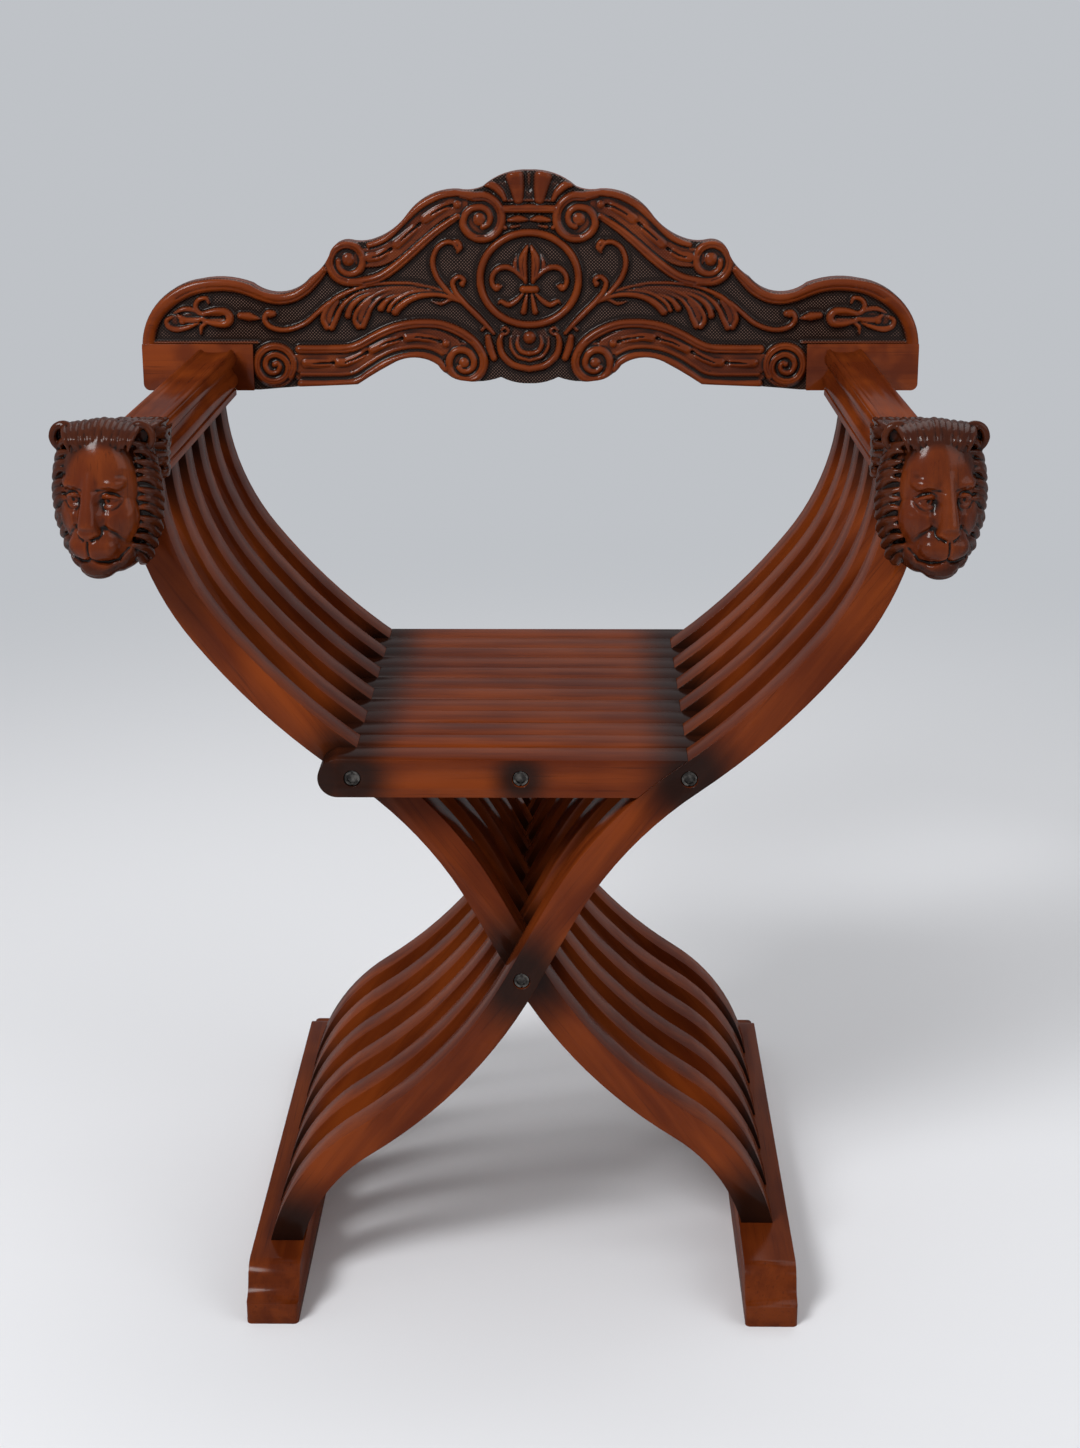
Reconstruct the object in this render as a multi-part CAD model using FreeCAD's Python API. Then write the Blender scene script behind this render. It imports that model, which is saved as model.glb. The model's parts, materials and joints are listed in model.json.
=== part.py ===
import FreeCAD, Part
import math
import os

# A folding Savonarola armchair. Twelve curved leg slats lie side by side, front to back, in alternating layers.
# Six rise from the left foot to the right arm, and six from the right foot to the left arm. All twelve cross on one
# long rod. Straight seat slats fill the same layers above the crossing: six turn on a rod through the slats that
# carry the left arm, six on a rod through the others, and a fourth rod joins them in the middle of the seat.
# X runs to the right as one faces the chair, Y from front to back, Z up. The origin is on the floor, in the middle
# of the chair's width and of its whole depth. Lengths are millimetres, angles are degrees.

V = FreeCAD.Vector
right, back, up = V(1, 0, 0), V(0, 1, 0), V(0, 0, 1)

# Slats. The seat's depth holds one slat and one gap in each layer.
slats_per_frame = 6
layers = 2 * slats_per_frame
seat_depth = 378.0
slat_gap = 0.6
slat_thickness = seat_depth / layers - slat_gap
leg_slat_width = 24.5
seat_slat_height = 29.2
seat_end_reach = 25.8
butt_clearance = 0.3

# The centre line of a leg slat from the left foot up to the right arm: it passes through the foot, the crossing
# rod, the seat rod and the arm at these places and slopes, and each stretch between two of them is two arcs.
foot_slat_x = 187.0
foot_top_height = 40.6
crossing_height = 263.7
seat_rod_x = 125.0
seat_rod_height = 426.1
arm_slat_x = 277.0
arm_bottom_height = 649.4
foot_slope, crossing_slope, seat_slope, arm_slope = 76.0, 62.0, 35.3, 88.0
foot_arc_share, crossing_arc_share, seat_arc_share = 0.37, 0.29, 0.53

# Tenons at both ends of every leg slat
tenon_width = 15.0
tenon_thickness = 12.0
tenon_depth = 20.0
tenon_clearance = 0.1

# Feet
foot_outset = 5.6
foot_width = 40.0
foot_front_toe_height = 17.2
foot_back_toe_height = 26.0
foot_corner_radius = 4.0
foot_front_ogee_run = 32.7
foot_back_ogee_run = 51.3
foot_ledge = 22.7
ogee_shares = [((0.34, 0.15), (0.5, 0.5)), ((0.66, 0.85), (1.0, 1.0))]

# Rods and nuts
rod_radius = 4.0
rod_clearance = 0.05
nut_radius = 5.6
nut_height = 5.0
nut_slot_width = 1.8
nut_slot_depth = 1.6
rod_end_setback = 2.2
recess_radius = 6.4
recess_depth = 6.2

# Arms. The moulding is half of the arm's section, from the middle of its underside round to the middle of its top, in
# shares of the half width and the height. A step with one point is a straight line to it, and a step with two is an
# arc through the first to the second.
arm_inset = 4.2
arm_width = 36.8
arm_height = 39.2
arm_front_overhang = 6.0
arm_back_overhang = 9.1
moulding_shares = [
    [(0.91, 0.0)],
    [(0.91, 0.13)],
    [(0.82, 0.15)],
    [(1.0, 0.31), (0.80, 0.50)],
    [(0.74, 0.60)],
    [(0.93, 0.74), (0.86, 0.92)],
    [(0.80, 0.99), (0.66, 1.0)],
    [(0.55, 0.955)],
    [(0.28, 0.94), (0.0, 0.935)],
]

# The wedge tongue on the back end of each arm, which the back board's housing drops over
tongue_length = 12.0
tongue_foot_width = 30.0
tongue_top_width = 3.0
tongue_height = 22.0
tongue_rise = 6.0
tongue_clearance = 0.4

# Heads on the arm fronts
head_width = 80.0
head_height = 114.0
head_depth = 56.0
head_outset = 17.2
head_rise = 10.5
head_tenon_radius = 8.0
head_tenon_length = 24.0
head_tenon_clearance = 0.05
# Sections of the head from its flat back to the tip of the face: share of the depth, of the half width and of the
# half height, and how far the section's middle lies above the head's middle as a share of its height
head_section_shares = [
    (0.0, 0.80, 0.84, 0.04),
    (0.22, 0.98, 0.98, 0.01),
    (0.45, 1.0, 1.0, 0.0),
    (0.68, 0.86, 0.90, 0.0),
    (0.88, 0.58, 0.68, -0.01),
    (1.0, 0.22, 0.34, -0.03),
]

# Back board. It reaches past the middle of each arm by board_side_reach. Its outline's right half runs from the middle
# of the lower edge to the middle of the crest, in the same kind of steps, as shares of its half width and height.
board_side_reach = 64.2
board_width = 2 * (arm_slat_x - arm_inset + board_side_reach)
board_height = 186.5
board_rise = 3.6
board_thickness = 22.0
board_gap = 0.3
board_corner_radius = 6.0
board_foot_start_share = (0.0, 0.029)
board_foot_shares = [
    [(0.042, 0.037), (0.074, 0.059)],
    [(0.119, 0.040), (0.166, 0.043)],
    [(0.208, 0.066), (0.237, 0.117)],
    [(0.297, 0.152), (0.356, 0.122)],
    [(0.398, 0.080), (0.445, 0.027)],
    [(0.593, 0.016)],
    [(0.700, 0.0)],
]
board_crest_start_share = (1.0, 0.200)
board_crest_shares = [
    [(0.954, 0.408), (0.846, 0.508)],
    [(0.777, 0.516), (0.712, 0.489)],
    [(0.641, 0.447), (0.564, 0.516)],
    [(0.534, 0.559), (0.510, 0.622)],
    [(0.493, 0.670), (0.457, 0.686)],
    [(0.424, 0.681), (0.392, 0.694)],
    [(0.350, 0.734), (0.309, 0.809)],
    [(0.255, 0.888), (0.181, 0.915)],
    [(0.148, 0.912), (0.119, 0.926)],
    [(0.071, 0.979), (0.0, 1.0)],
]
# The carved ground is sunk below the board's face, inside the medallion's ring and in a field on each side of it
ground_depth = 5.0
medallion_radius = 44.0
medallion_ring_width = 7.0
medallion_height_share = 0.505
field_start_share = (0.075, 0.327)
field_shares = [
    [(0.085, 0.262), (0.101, 0.212)],
    [(0.150, 0.290), (0.224, 0.318)],
    [(0.345, 0.290), (0.449, 0.208)],
    [(0.501, 0.196), (0.600, 0.212)],
    [(0.960, 0.217)],
    [(0.960, 0.328)],
    [(0.905, 0.450), (0.811, 0.488)],
    [(0.740, 0.465), (0.677, 0.428)],
    [(0.610, 0.425), (0.561, 0.465)],
    [(0.521, 0.520)],
    [(0.478, 0.500), (0.427, 0.493)],
    [(0.330, 0.550), (0.234, 0.683)],
    [(0.170, 0.714), (0.125, 0.692)],
    [(0.075, 0.327)],
]

overrun = 5.0

# Layers from front to back. The head reaches furthest forward and the foot furthest back, and the origin's Y lies
# halfway between them.
layer_pitch = slat_thickness + slat_gap
stack_depth = layers * layer_pitch
foot_front_reach = foot_ledge + foot_front_ogee_run
back_reach = foot_ledge + foot_back_ogee_run
front_reach = max(arm_front_overhang + head_depth, foot_front_reach)
stack_front = (front_reach - stack_depth - back_reach) / 2
stack_back = stack_front + stack_depth
foot_x = foot_slat_x + foot_outset
arm_x = arm_slat_x - arm_inset
board_bottom_height = arm_bottom_height + board_rise
seat_top = seat_rod_height + seat_slat_height / 2
seat_bottom = seat_rod_height - seat_slat_height / 2
arm_front = stack_front - arm_front_overhang
arm_back = stack_back + arm_back_overhang
board_front = arm_back + board_gap


def layer_front(layer):
    """Y of the front face of the slat in this layer."""
    return stack_front + layer * layer_pitch + slat_gap / 2


def box(x_low, x_high, y_low, y_high, z_low, z_high):
    return Part.makeBox(x_high - x_low, y_high - y_low, z_high - z_low, V(x_low, y_low, z_low))


def mirrored(shape):
    """The same piece on the other side of the chair."""
    return shape.mirror(V(0, 0, 0), right)


def prism(edges, depth):
    """Solid from a closed outline, given as edges in order, thickened towards the back."""
    return Part.Face(Part.Wire(edges)).extrude(back * depth)


def arc(start, middle, end):
    return Part.Arc(start, middle, end).toShape()


def line(start, end):
    return Part.LineSegment(start, end).toShape()


def polyline(points):
    return [line(a, b) for a, b in zip(points, points[1:])]


def chain(start, steps, place):
    """Edges from the start along steps of shares, which place turns into points. One point is a straight line to it,
    and two are an arc through the first to the second."""
    edges, point = [], place(start)
    for step in steps:
        points = [place(share) for share in step]
        edges.append(line(point, *points) if len(points) == 1 else arc(point, *points))
        point = points[-1]
    return edges


def slope_vector(angle):
    return V(math.cos(math.radians(angle)), 0, math.sin(math.radians(angle)))


def normal_vector(angle):
    """Square to a slope, towards the upper left."""
    return V(-math.sin(math.radians(angle)), 0, math.cos(math.radians(angle)))


def two_arcs(start, start_slope, end, end_slope, share):
    """Two arcs that leave start and reach end at the given slopes and meet with one tangent. Each arc is its two
    end points and two slopes."""
    leave, reach, span = slope_vector(start_slope), slope_vector(end_slope), end - start
    square = 2 * share * (1 - share) * (1 - leave.dot(reach))
    linear = 2 * (share * span.dot(leave) + (1 - share) * span.dot(reach))
    whole = (math.sqrt(linear ** 2 + 4 * square * span.dot(span)) - linear) / (2 * square)
    first, last = start + leave * (share * whole), end - reach * ((1 - share) * whole)
    meeting = first * (1 - share) + last * share
    slope = math.degrees(math.atan2((last - first).z, (last - first).x))
    return [(start, start_slope, meeting, slope), (meeting, slope, end, end_slope)]


def along(stretch, share):
    """Point and slope at a share of one arc."""
    start, start_slope, end, end_slope = stretch
    turn = math.radians(end_slope - start_slope)
    radius = (end - start).Length / (2 * math.sin(turn / 2))
    slope = start_slope + (end_slope - start_slope) * share
    centre = start + normal_vector(start_slope) * radius
    return centre - normal_vector(slope) * radius, slope


def beside(stretch, share, offset):
    """Point at a distance from the centre line, towards the upper left if the offset is positive."""
    point, slope = along(stretch, share)
    return point + normal_vector(slope) * offset


def edge_beside(stretch, offset):
    return arc(*[beside(stretch, share, offset) for share in (0, 0.5, 1)])


def leg_centre_line():
    foot, crossing = V(-foot_slat_x, 0, foot_top_height), V(0, 0, crossing_height)
    seat, arm = V(seat_rod_x, 0, seat_rod_height), V(arm_slat_x, 0, arm_bottom_height)
    return (two_arcs(foot, foot_slope, crossing, crossing_slope, foot_arc_share)
            + two_arcs(crossing, crossing_slope, seat, seat_slope, crossing_arc_share)
            + two_arcs(seat, seat_slope, arm, arm_slope, seat_arc_share))


centre_line = leg_centre_line()


def leg_outline():
    """Outline of a leg slat, run straight past its two shoulders."""
    half = leg_slat_width / 2
    lower = [edge_beside(stretch, -half) for stretch in centre_line]
    upper = [edge_beside(stretch, half) for stretch in reversed(centre_line)]
    foot_right, foot_left = beside(centre_line[0], 0, -half), beside(centre_line[0], 0, half)
    arm_right, arm_left = beside(centre_line[-1], 1, -half), beside(centre_line[-1], 1, half)
    below, above = slope_vector(foot_slope) * -overrun, slope_vector(arm_slope) * overrun
    top = [arm_right, arm_right + above, arm_left + above, arm_left]
    bottom = [foot_left, foot_left + below, foot_right + below, foot_right]
    return lower + polyline(top) + upper + polyline(bottom)


def tenon(x, z_low, z_high, y_middle, clearance=0.0):
    """Block at a slat's end, or with a clearance the mortise that takes it."""
    half_width, half_thickness = tenon_width / 2 + clearance, tenon_thickness / 2 + clearance
    return box(x - half_width, x + half_width, y_middle - half_thickness, y_middle + half_thickness, z_low, z_high)


def drilled(shape, x, z, layer):
    """The slat in this layer with its rod hole, and the nut's recess if it is the first or the last layer."""
    front = layer_front(layer)
    shape = shape.cut(Part.makeCylinder(rod_radius + rod_clearance, layer_pitch, V(x, front - slat_gap / 2, z), back))
    if layer == 0:
        shape = shape.cut(Part.makeCylinder(recess_radius, recess_depth + overrun, V(x, front - overrun, z), back))
    if layer == layers - 1:
        floor = front + slat_thickness - recess_depth
        shape = shape.cut(Part.makeCylinder(recess_radius, recess_depth + overrun, V(x, floor, z), back))
    return shape


def leg_slat(layer):
    """A slat from the left foot to the right arm, with a tenon in each."""
    front = layer_front(layer)
    slat = prism(leg_outline(), slat_thickness)
    slat = slat.common(box(-board_width, board_width, -overrun, slat_thickness + overrun,
                           foot_top_height, arm_bottom_height))
    slat.translate(back * front)
    middle = front + slat_thickness / 2
    slat = slat.fuse(tenon(-foot_slat_x, foot_top_height - tenon_depth, foot_top_height + overrun, middle))
    slat = slat.fuse(tenon(arm_slat_x, arm_bottom_height - overrun, arm_bottom_height + tenon_depth, middle))
    return slat.removeSplitter()


def beyond_right_leg(depth):
    """Everything to the right of the upper edge of the slats that rise to the right arm, as a cutting block."""
    offset = leg_slat_width / 2 + butt_clearance
    rising = centre_line[2:]
    bottom, top = beside(rising[0], 0, offset), beside(rising[-1], 1, offset)
    far_bottom, far_top = V(board_width, 0, bottom.z), V(board_width, 0, top.z)
    edges = [edge_beside(stretch, offset) for stretch in rising]
    return prism(edges + [line(top, far_top), line(far_top, far_bottom), line(far_bottom, bottom)], depth)


def seat_slat(layer):
    """A seat slat that turns on the left rod: its left end is round, and its right end is cut to lie against the
    leg slat in its layer."""
    radius = seat_slat_height / 2
    round_x = -seat_rod_x - seat_end_reach + radius
    bar = box(round_x, seat_rod_x, 0, slat_thickness, seat_bottom, seat_top)
    bar = bar.fuse(Part.makeCylinder(radius, slat_thickness, V(round_x, 0, seat_rod_height), back))
    block = beyond_right_leg(slat_thickness + 2 * overrun)
    block.translate(-back * overrun)
    bar = bar.cut(block).removeSplitter()
    bar.translate(back * layer_front(layer))
    return bar


def foot(first_layer):
    """The left foot: a runner with a low toe and an ogee at each end, mortised for the slats of every second
    layer."""
    left_side = -foot_x - foot_width / 2
    front, rear = stack_front - foot_front_reach, stack_back + back_reach

    def front_place(share):
        rise = (foot_top_height - foot_front_toe_height) * share[1]
        return V(left_side, front + foot_front_ogee_run * share[0], foot_front_toe_height + rise)

    def back_place(share):
        rise = (foot_top_height - foot_back_toe_height) * share[1]
        return V(left_side, rear - foot_back_ogee_run * share[0], foot_back_toe_height + rise)

    front_ogee, back_ogee = chain((0, 0), ogee_shares, front_place), chain((0, 0), ogee_shares, back_place)
    crown = line(front_place((1, 1)), back_place((1, 1)))
    ground = polyline([back_place((0, 0)), V(left_side, rear, 0), V(left_side, front, 0), front_place((0, 0))])
    side = Part.Face(Part.Wire(front_ogee + [crown] + back_ogee[::-1] + ground)).extrude(right * foot_width)
    bar = box(left_side, left_side + foot_width, front, rear, 0, foot_top_height)
    upright_edges = [edge for edge in bar.Edges if edge.BoundBox.ZLength > foot_front_toe_height]
    runner = side.common(bar.makeFillet(foot_corner_radius, upright_edges))
    for layer in range(first_layer, layers, 2):
        middle = layer_front(layer) + slat_thickness / 2
        runner = runner.cut(tenon(-foot_slat_x, foot_top_height - tenon_depth - tenon_clearance,
                                  foot_top_height + overrun, middle, tenon_clearance))
    return runner.removeSplitter()


def wedge(clearance=0.0):
    """Outline of the tongue behind the right arm, or with a clearance that of the board's housing for it, which is
    open at the board's lower edge."""
    top_z = arm_bottom_height + tongue_rise + tongue_height + clearance
    foot_z = board_bottom_height - overrun if clearance else arm_bottom_height + tongue_rise
    lean = (tongue_foot_width - tongue_top_width) / 2 / tongue_height
    half_top = tongue_top_width / 2 + clearance
    half_foot = half_top + lean * (top_z - foot_z)
    return polyline([V(arm_x - half_foot, 0, foot_z), V(arm_x + half_foot, 0, foot_z), V(arm_x + half_top, 0, top_z),
                     V(arm_x - half_top, 0, top_z), V(arm_x - half_foot, 0, foot_z)])


def head_tenon(clearance=0.0):
    """Round tenon in front of the right arm, or with a clearance the hole in the head that takes it."""
    start = V(arm_x, arm_front - head_tenon_length - clearance, arm_bottom_height + arm_height / 2)
    return Part.makeCylinder(head_tenon_radius + clearance, head_tenon_length + clearance + overrun, start, back)


def arm(first_layer):
    """The right arm: a moulded rail over the ends of every second slat, with a tenon for the head in front and the
    board's tongue behind."""
    def right_place(share):
        return V(arm_x + arm_width / 2 * share[0], 0, arm_bottom_height + arm_height * share[1])

    def left_place(share):
        return V(arm_x - arm_width / 2 * share[0], 0, arm_bottom_height + arm_height * share[1])

    edges = chain((0, 0), moulding_shares, right_place) + chain((0, 0), moulding_shares, left_place)[::-1]
    rail = prism(edges, arm_back - arm_front)
    rail.translate(back * arm_front)
    tongue = prism(wedge(), tongue_length + overrun)
    tongue.translate(back * (arm_back - overrun))
    rail = rail.fuse([tongue, head_tenon()])
    for layer in range(first_layer, layers, 2):
        middle = layer_front(layer) + slat_thickness / 2
        rail = rail.cut(tenon(arm_slat_x, arm_bottom_height - overrun,
                              arm_bottom_height + tenon_depth + tenon_clearance, middle, tenon_clearance))
    return rail.removeSplitter()


def head():
    """The carved head on the front of the right arm, as its main form: a flat back, the mane's full outline and the
    face drawn in towards the front."""
    middle = V(arm_x + head_outset, arm_front, arm_bottom_height + arm_height + head_rise - head_height / 2)
    sections = []
    for depth_share, width_share, height_share, lift_share in head_section_shares:
        centre = middle - back * (head_depth * depth_share) + up * (head_height * lift_share)
        across, upright = right * (head_width / 2 * width_share), up * (head_height / 2 * height_share)
        rim = [centre + across * math.cos(math.radians(turn)) + upright * math.sin(math.radians(turn))
               for turn in range(0, 361, 45)]
        sections.append(Part.Wire([arc(*rim[start:start + 3]) for start in range(0, 8, 2)]))
    return Part.makeLoft(sections, True, False).cut(head_tenon(head_tenon_clearance))


def board_place(share):
    return V(board_width / 2 * share[0], 0, board_bottom_height + board_height * share[1])


def half_board_edges():
    """Right half of the board's outline, closed by a line down its middle."""
    foot = chain(board_foot_start_share, board_foot_shares, board_place)
    foot_end = board_place(board_foot_shares[-1][-1])
    radius = board_corner_radius
    low_corner = V(board_width / 2 - radius, 0, board_bottom_height)
    side_corner = V(board_width / 2, 0, board_bottom_height + radius)
    turn = V(low_corner.x, 0, side_corner.z) + slope_vector(-45) * radius
    end = [line(foot_end, low_corner), arc(low_corner, turn, side_corner),
           line(side_corner, board_place(board_crest_start_share))]
    crest = chain(board_crest_start_share, board_crest_shares, board_place)
    return foot + end + crest + [line(board_place(board_crest_shares[-1][-1]), board_place(board_foot_start_share))]


def back_board():
    half = prism(half_board_edges(), board_thickness)
    board = half.fuse(mirrored(half))
    centre = board_place((0, medallion_height_share)) - back * overrun
    disc = Part.makeCylinder(medallion_radius - medallion_ring_width, ground_depth + overrun, centre, back)
    field = prism(chain(field_start_share, field_shares, board_place), ground_depth + overrun)
    field.translate(-back * overrun)
    field = field.cut(Part.makeCylinder(medallion_radius, ground_depth + overrun, centre, back))
    housing = prism(wedge(tongue_clearance), tongue_length + tongue_clearance + overrun)
    housing.translate(-back * overrun)
    board = board.cut([disc, field, mirrored(field), housing, mirrored(housing)])
    board.translate(back * board_front)
    return board.removeSplitter()


def rod(x, z, first_layer=0, last_layer=layers - 1):
    """Rod through the given layers: at the chair's front and back it ends inside its nut, elsewhere flush."""
    start, end = layer_front(first_layer), layer_front(last_layer) + slat_thickness
    inset = recess_depth - nut_height + rod_end_setback
    if first_layer == 0:
        start += inset
    if last_layer == layers - 1:
        end -= inset
    return Part.makeCylinder(rod_radius, end - start, V(x, start, z), back)


def nut(x, z, at_front):
    """Round slotted nut on the floor of its recess."""
    floor = layer_front(0) + recess_depth if at_front else stack_back - slat_gap / 2 - recess_depth
    outwards = -back if at_front else back
    body = Part.makeCylinder(nut_radius, nut_height, V(x, floor, z), outwards)
    body = body.cut(Part.makeCylinder(rod_radius + rod_clearance, nut_height, V(x, floor, z), outwards))
    slot_floor = floor + outwards.y * (nut_height - nut_slot_depth)
    y_low, y_high = sorted([slot_floor, slot_floor + outwards.y * overrun])
    return body.cut(box(x - nut_slot_width / 2, x + nut_slot_width / 2, y_low, y_high, z - nut_radius, z + nut_radius))


def export(name, *solids):
    shape = solids[0] if len(solids) == 1 else Part.Compound(list(solids))
    if shape.ShapeType == "Compound" and len(shape.Solids) == 1:
        shape = shape.Solids[0]
    shape.exportStep(f"parts/{name}.step")


def build():
    os.makedirs("parts", exist_ok=True)
    for number in range(slats_per_frame):
        front_layer, back_layer = 2 * number, 2 * number + 1
        left_leg = drilled(leg_slat(front_layer), 0, crossing_height, front_layer)
        left_leg = drilled(left_leg, seat_rod_x, seat_rod_height, front_layer)
        export(f"left_leg_slat_{number + 1}", left_leg)
        right_leg = drilled(mirrored(leg_slat(back_layer)), 0, crossing_height, back_layer)
        right_leg = drilled(right_leg, -seat_rod_x, seat_rod_height, back_layer)
        export(f"right_leg_slat_{number + 1}", right_leg)
        left_seat = drilled(seat_slat(front_layer), -seat_rod_x, seat_rod_height, front_layer)
        export(f"left_seat_slat_{number + 1}", drilled(left_seat, 0, seat_rod_height, front_layer))
        right_seat = drilled(mirrored(seat_slat(back_layer)), seat_rod_x, seat_rod_height, back_layer)
        export(f"right_seat_slat_{number + 1}", drilled(right_seat, 0, seat_rod_height, back_layer))

    export("left_foot", foot(0))
    export("right_foot", mirrored(foot(1)))
    export("right_arm", arm(0))
    export("left_arm", mirrored(arm(1)))
    export("right_arm_head", head())
    export("left_arm_head", mirrored(head()))
    export("back_board", back_board())

    for name, x, z in (("crossing_rod", 0, crossing_height), ("left_seat_rod", -seat_rod_x, seat_rod_height),
                       ("right_seat_rod", seat_rod_x, seat_rod_height)):
        export(name, rod(x, z))
        export(f"{name}_nuts", nut(x, z, True), nut(x, z, False))
    even, odd = range(0, layers, 2), range(1, layers, 2)
    export("middle_rod_in_left_slats", *[rod(0, seat_rod_height, layer, layer) for layer in even])
    export("middle_rod_in_right_slats", *[rod(0, seat_rod_height, layer, layer) for layer in odd])
    export("middle_rod_front_nut", nut(0, seat_rod_height, True))
    export("middle_rod_back_nut", nut(0, seat_rod_height, False))


build()
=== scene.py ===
import json
import math

import bmesh
import bpy
import numpy as np
from bpy.props import FloatProperty, FloatVectorProperty, IntProperty, PointerProperty
from mathutils import Matrix, Vector

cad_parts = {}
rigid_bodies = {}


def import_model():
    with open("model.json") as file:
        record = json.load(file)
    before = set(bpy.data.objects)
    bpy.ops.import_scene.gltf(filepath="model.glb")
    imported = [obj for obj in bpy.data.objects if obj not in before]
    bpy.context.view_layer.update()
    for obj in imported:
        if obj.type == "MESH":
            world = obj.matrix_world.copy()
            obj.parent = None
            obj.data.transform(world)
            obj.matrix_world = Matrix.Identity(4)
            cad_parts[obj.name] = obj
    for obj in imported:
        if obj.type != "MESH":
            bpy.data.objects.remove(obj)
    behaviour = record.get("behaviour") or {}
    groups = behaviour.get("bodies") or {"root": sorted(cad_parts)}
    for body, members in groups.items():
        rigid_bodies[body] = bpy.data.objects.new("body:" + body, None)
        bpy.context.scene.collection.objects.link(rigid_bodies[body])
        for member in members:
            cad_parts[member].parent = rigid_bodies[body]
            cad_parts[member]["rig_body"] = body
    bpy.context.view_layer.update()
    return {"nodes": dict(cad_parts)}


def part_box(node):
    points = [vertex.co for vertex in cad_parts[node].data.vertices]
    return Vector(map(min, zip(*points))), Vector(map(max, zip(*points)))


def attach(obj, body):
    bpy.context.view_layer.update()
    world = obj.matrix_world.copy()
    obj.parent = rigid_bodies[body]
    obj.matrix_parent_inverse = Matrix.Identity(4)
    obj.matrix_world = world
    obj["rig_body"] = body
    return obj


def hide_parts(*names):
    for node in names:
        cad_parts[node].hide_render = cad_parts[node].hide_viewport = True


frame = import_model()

# The dressed Savonarola armchair: stained and lacquered walnut slats, feet and arms with eased edges, two
# carved lion heads on the arm fronts, a carved back board, and dark steel rods and nuts. Lengths are metres,
# and carved paths are written in millimetres. X runs to the right as one faces the chair, Y from front to
# back, Z up.

bl_info = {
    "name": "Savonarola Armchair",
    "version": (1, 0, 0),
    "blender": (4, 5, 0),
    "location": "3D View > Sidebar > Armchair",
    "description": "Dresses a folding slatted armchair with carved heads and a carved back board",
    "category": "Object",
}

mm = 0.001
sides = {"left": -1, "right": 1}
slats_per_frame = 6
# Turns of the grain about Y and Z, from lying along X
grain_across, grain_front_to_back, grain_upright = (0.0, 0.0), (0.0, math.pi / 2), (math.pi / 2, 0.0)


# Sizes and colours that a user would change

class WalnutFinish(bpy.types.PropertyGroup):
    """Colours and gloss of the stained and lacquered walnut."""
    # Also laid on the carving's ridges, where it is partly wear and partly a painted highlight.
    rubbed: FloatVectorProperty(
        name="Rubbed", description="Walnut where the stain is rubbed thin", subtype="COLOR", size=3,
        min=0.0, max=1.0, default=(0.188, 0.036, 0.006))
    stained: FloatVectorProperty(
        name="Stained", description="Walnut where the stain is full", subtype="COLOR", size=3,
        min=0.0, max=1.0, default=(0.090, 0.015, 0.0035))
    streak: FloatVectorProperty(
        name="Streaks", description="Dark streaks of the grain", subtype="COLOR", size=3,
        min=0.0, max=1.0, default=(0.034, 0.007, 0.003))
    # Besides burnish round joints, this is the colour of the painted shade in the carving's hollows, on the
    # mane and around the board's ridges.
    burnish_and_shade: FloatVectorProperty(
        name="Burnished", description="Near black shading round joints and in hollows", subtype="COLOR",
        size=3, min=0.0, max=1.0, default=(0.008, 0.004, 0.003))
    # Its light colour on the punch tips is partly wear and partly a painted glint.
    worn_ground_and_glint: FloatVectorProperty(
        name="Worn ground", description="Tips of the punched ground, where the stain is rubbed",
        subtype="COLOR", size=3, min=0.0, max=1.0, default=(0.150, 0.088, 0.066))
    roughness: FloatProperty(
        name="Roughness", description="Roughness of the wood under the lacquer", subtype="FACTOR",
        min=0.0, max=1.0, default=0.36)
    plain_lacquer: FloatProperty(
        name="Lacquer", description="Weight of the lacquer on the plain wood", subtype="FACTOR",
        min=0.0, max=1.0, default=0.19)
    carved_lacquer: FloatProperty(
        name="Lacquer on carving", description="Weight of the lacquer on the carved wood", subtype="FACTOR",
        min=0.0, max=1.0, default=0.30)
    foot_tone: FloatProperty(
        name="Foot tone", description="How light the feet are beside the slats", subtype="FACTOR",
        min=0.0, max=1.5, default=0.74)
    head_tone: FloatProperty(
        name="Head tone", description="How light the heads are beside the slats", subtype="FACTOR",
        min=0.0, max=1.5, default=0.80)
    # The mane's darker colour is partly stain and partly painted shade.
    mane_stain_and_shade: FloatProperty(
        name="Mane stain", description="How much darker the manes are stained than the faces",
        subtype="FACTOR", min=0.0, max=1.0, default=0.64)


class SteelFinish(bpy.types.PropertyGroup):
    """Colours of the dark steel rods and nuts."""
    blackened: FloatVectorProperty(
        name="Blackened", description="Steel where its blackening is whole", subtype="COLOR", size=3,
        min=0.0, max=1.0, default=(0.028, 0.025, 0.023))
    rubbed: FloatVectorProperty(
        name="Rubbed", description="Steel where its blackening is rubbed thin", subtype="COLOR", size=3,
        min=0.0, max=1.0, default=(0.13, 0.12, 0.11))


class SlatSizes(bpy.types.PropertyGroup):
    """Eased edges of the slats, feet and arms."""
    slat_edge: FloatProperty(
        name="Slat edge", description="Radius of the slats' edges", subtype="DISTANCE", unit="LENGTH",
        min=0.0002, max=0.004, default=0.0014)
    foot_edge: FloatProperty(
        name="Foot edge", description="Radius of the feet's edges", subtype="DISTANCE", unit="LENGTH",
        min=0.0002, max=0.004, default=0.0016)
    arm_edge: FloatProperty(
        name="Arm edge", description="Radius of the arms' edges", subtype="DISTANCE", unit="LENGTH",
        min=0.0002, max=0.003, default=0.0006)
    segments: IntProperty(
        name="Segments", description="Segments of an eased edge", min=1, max=6, default=3)


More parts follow.
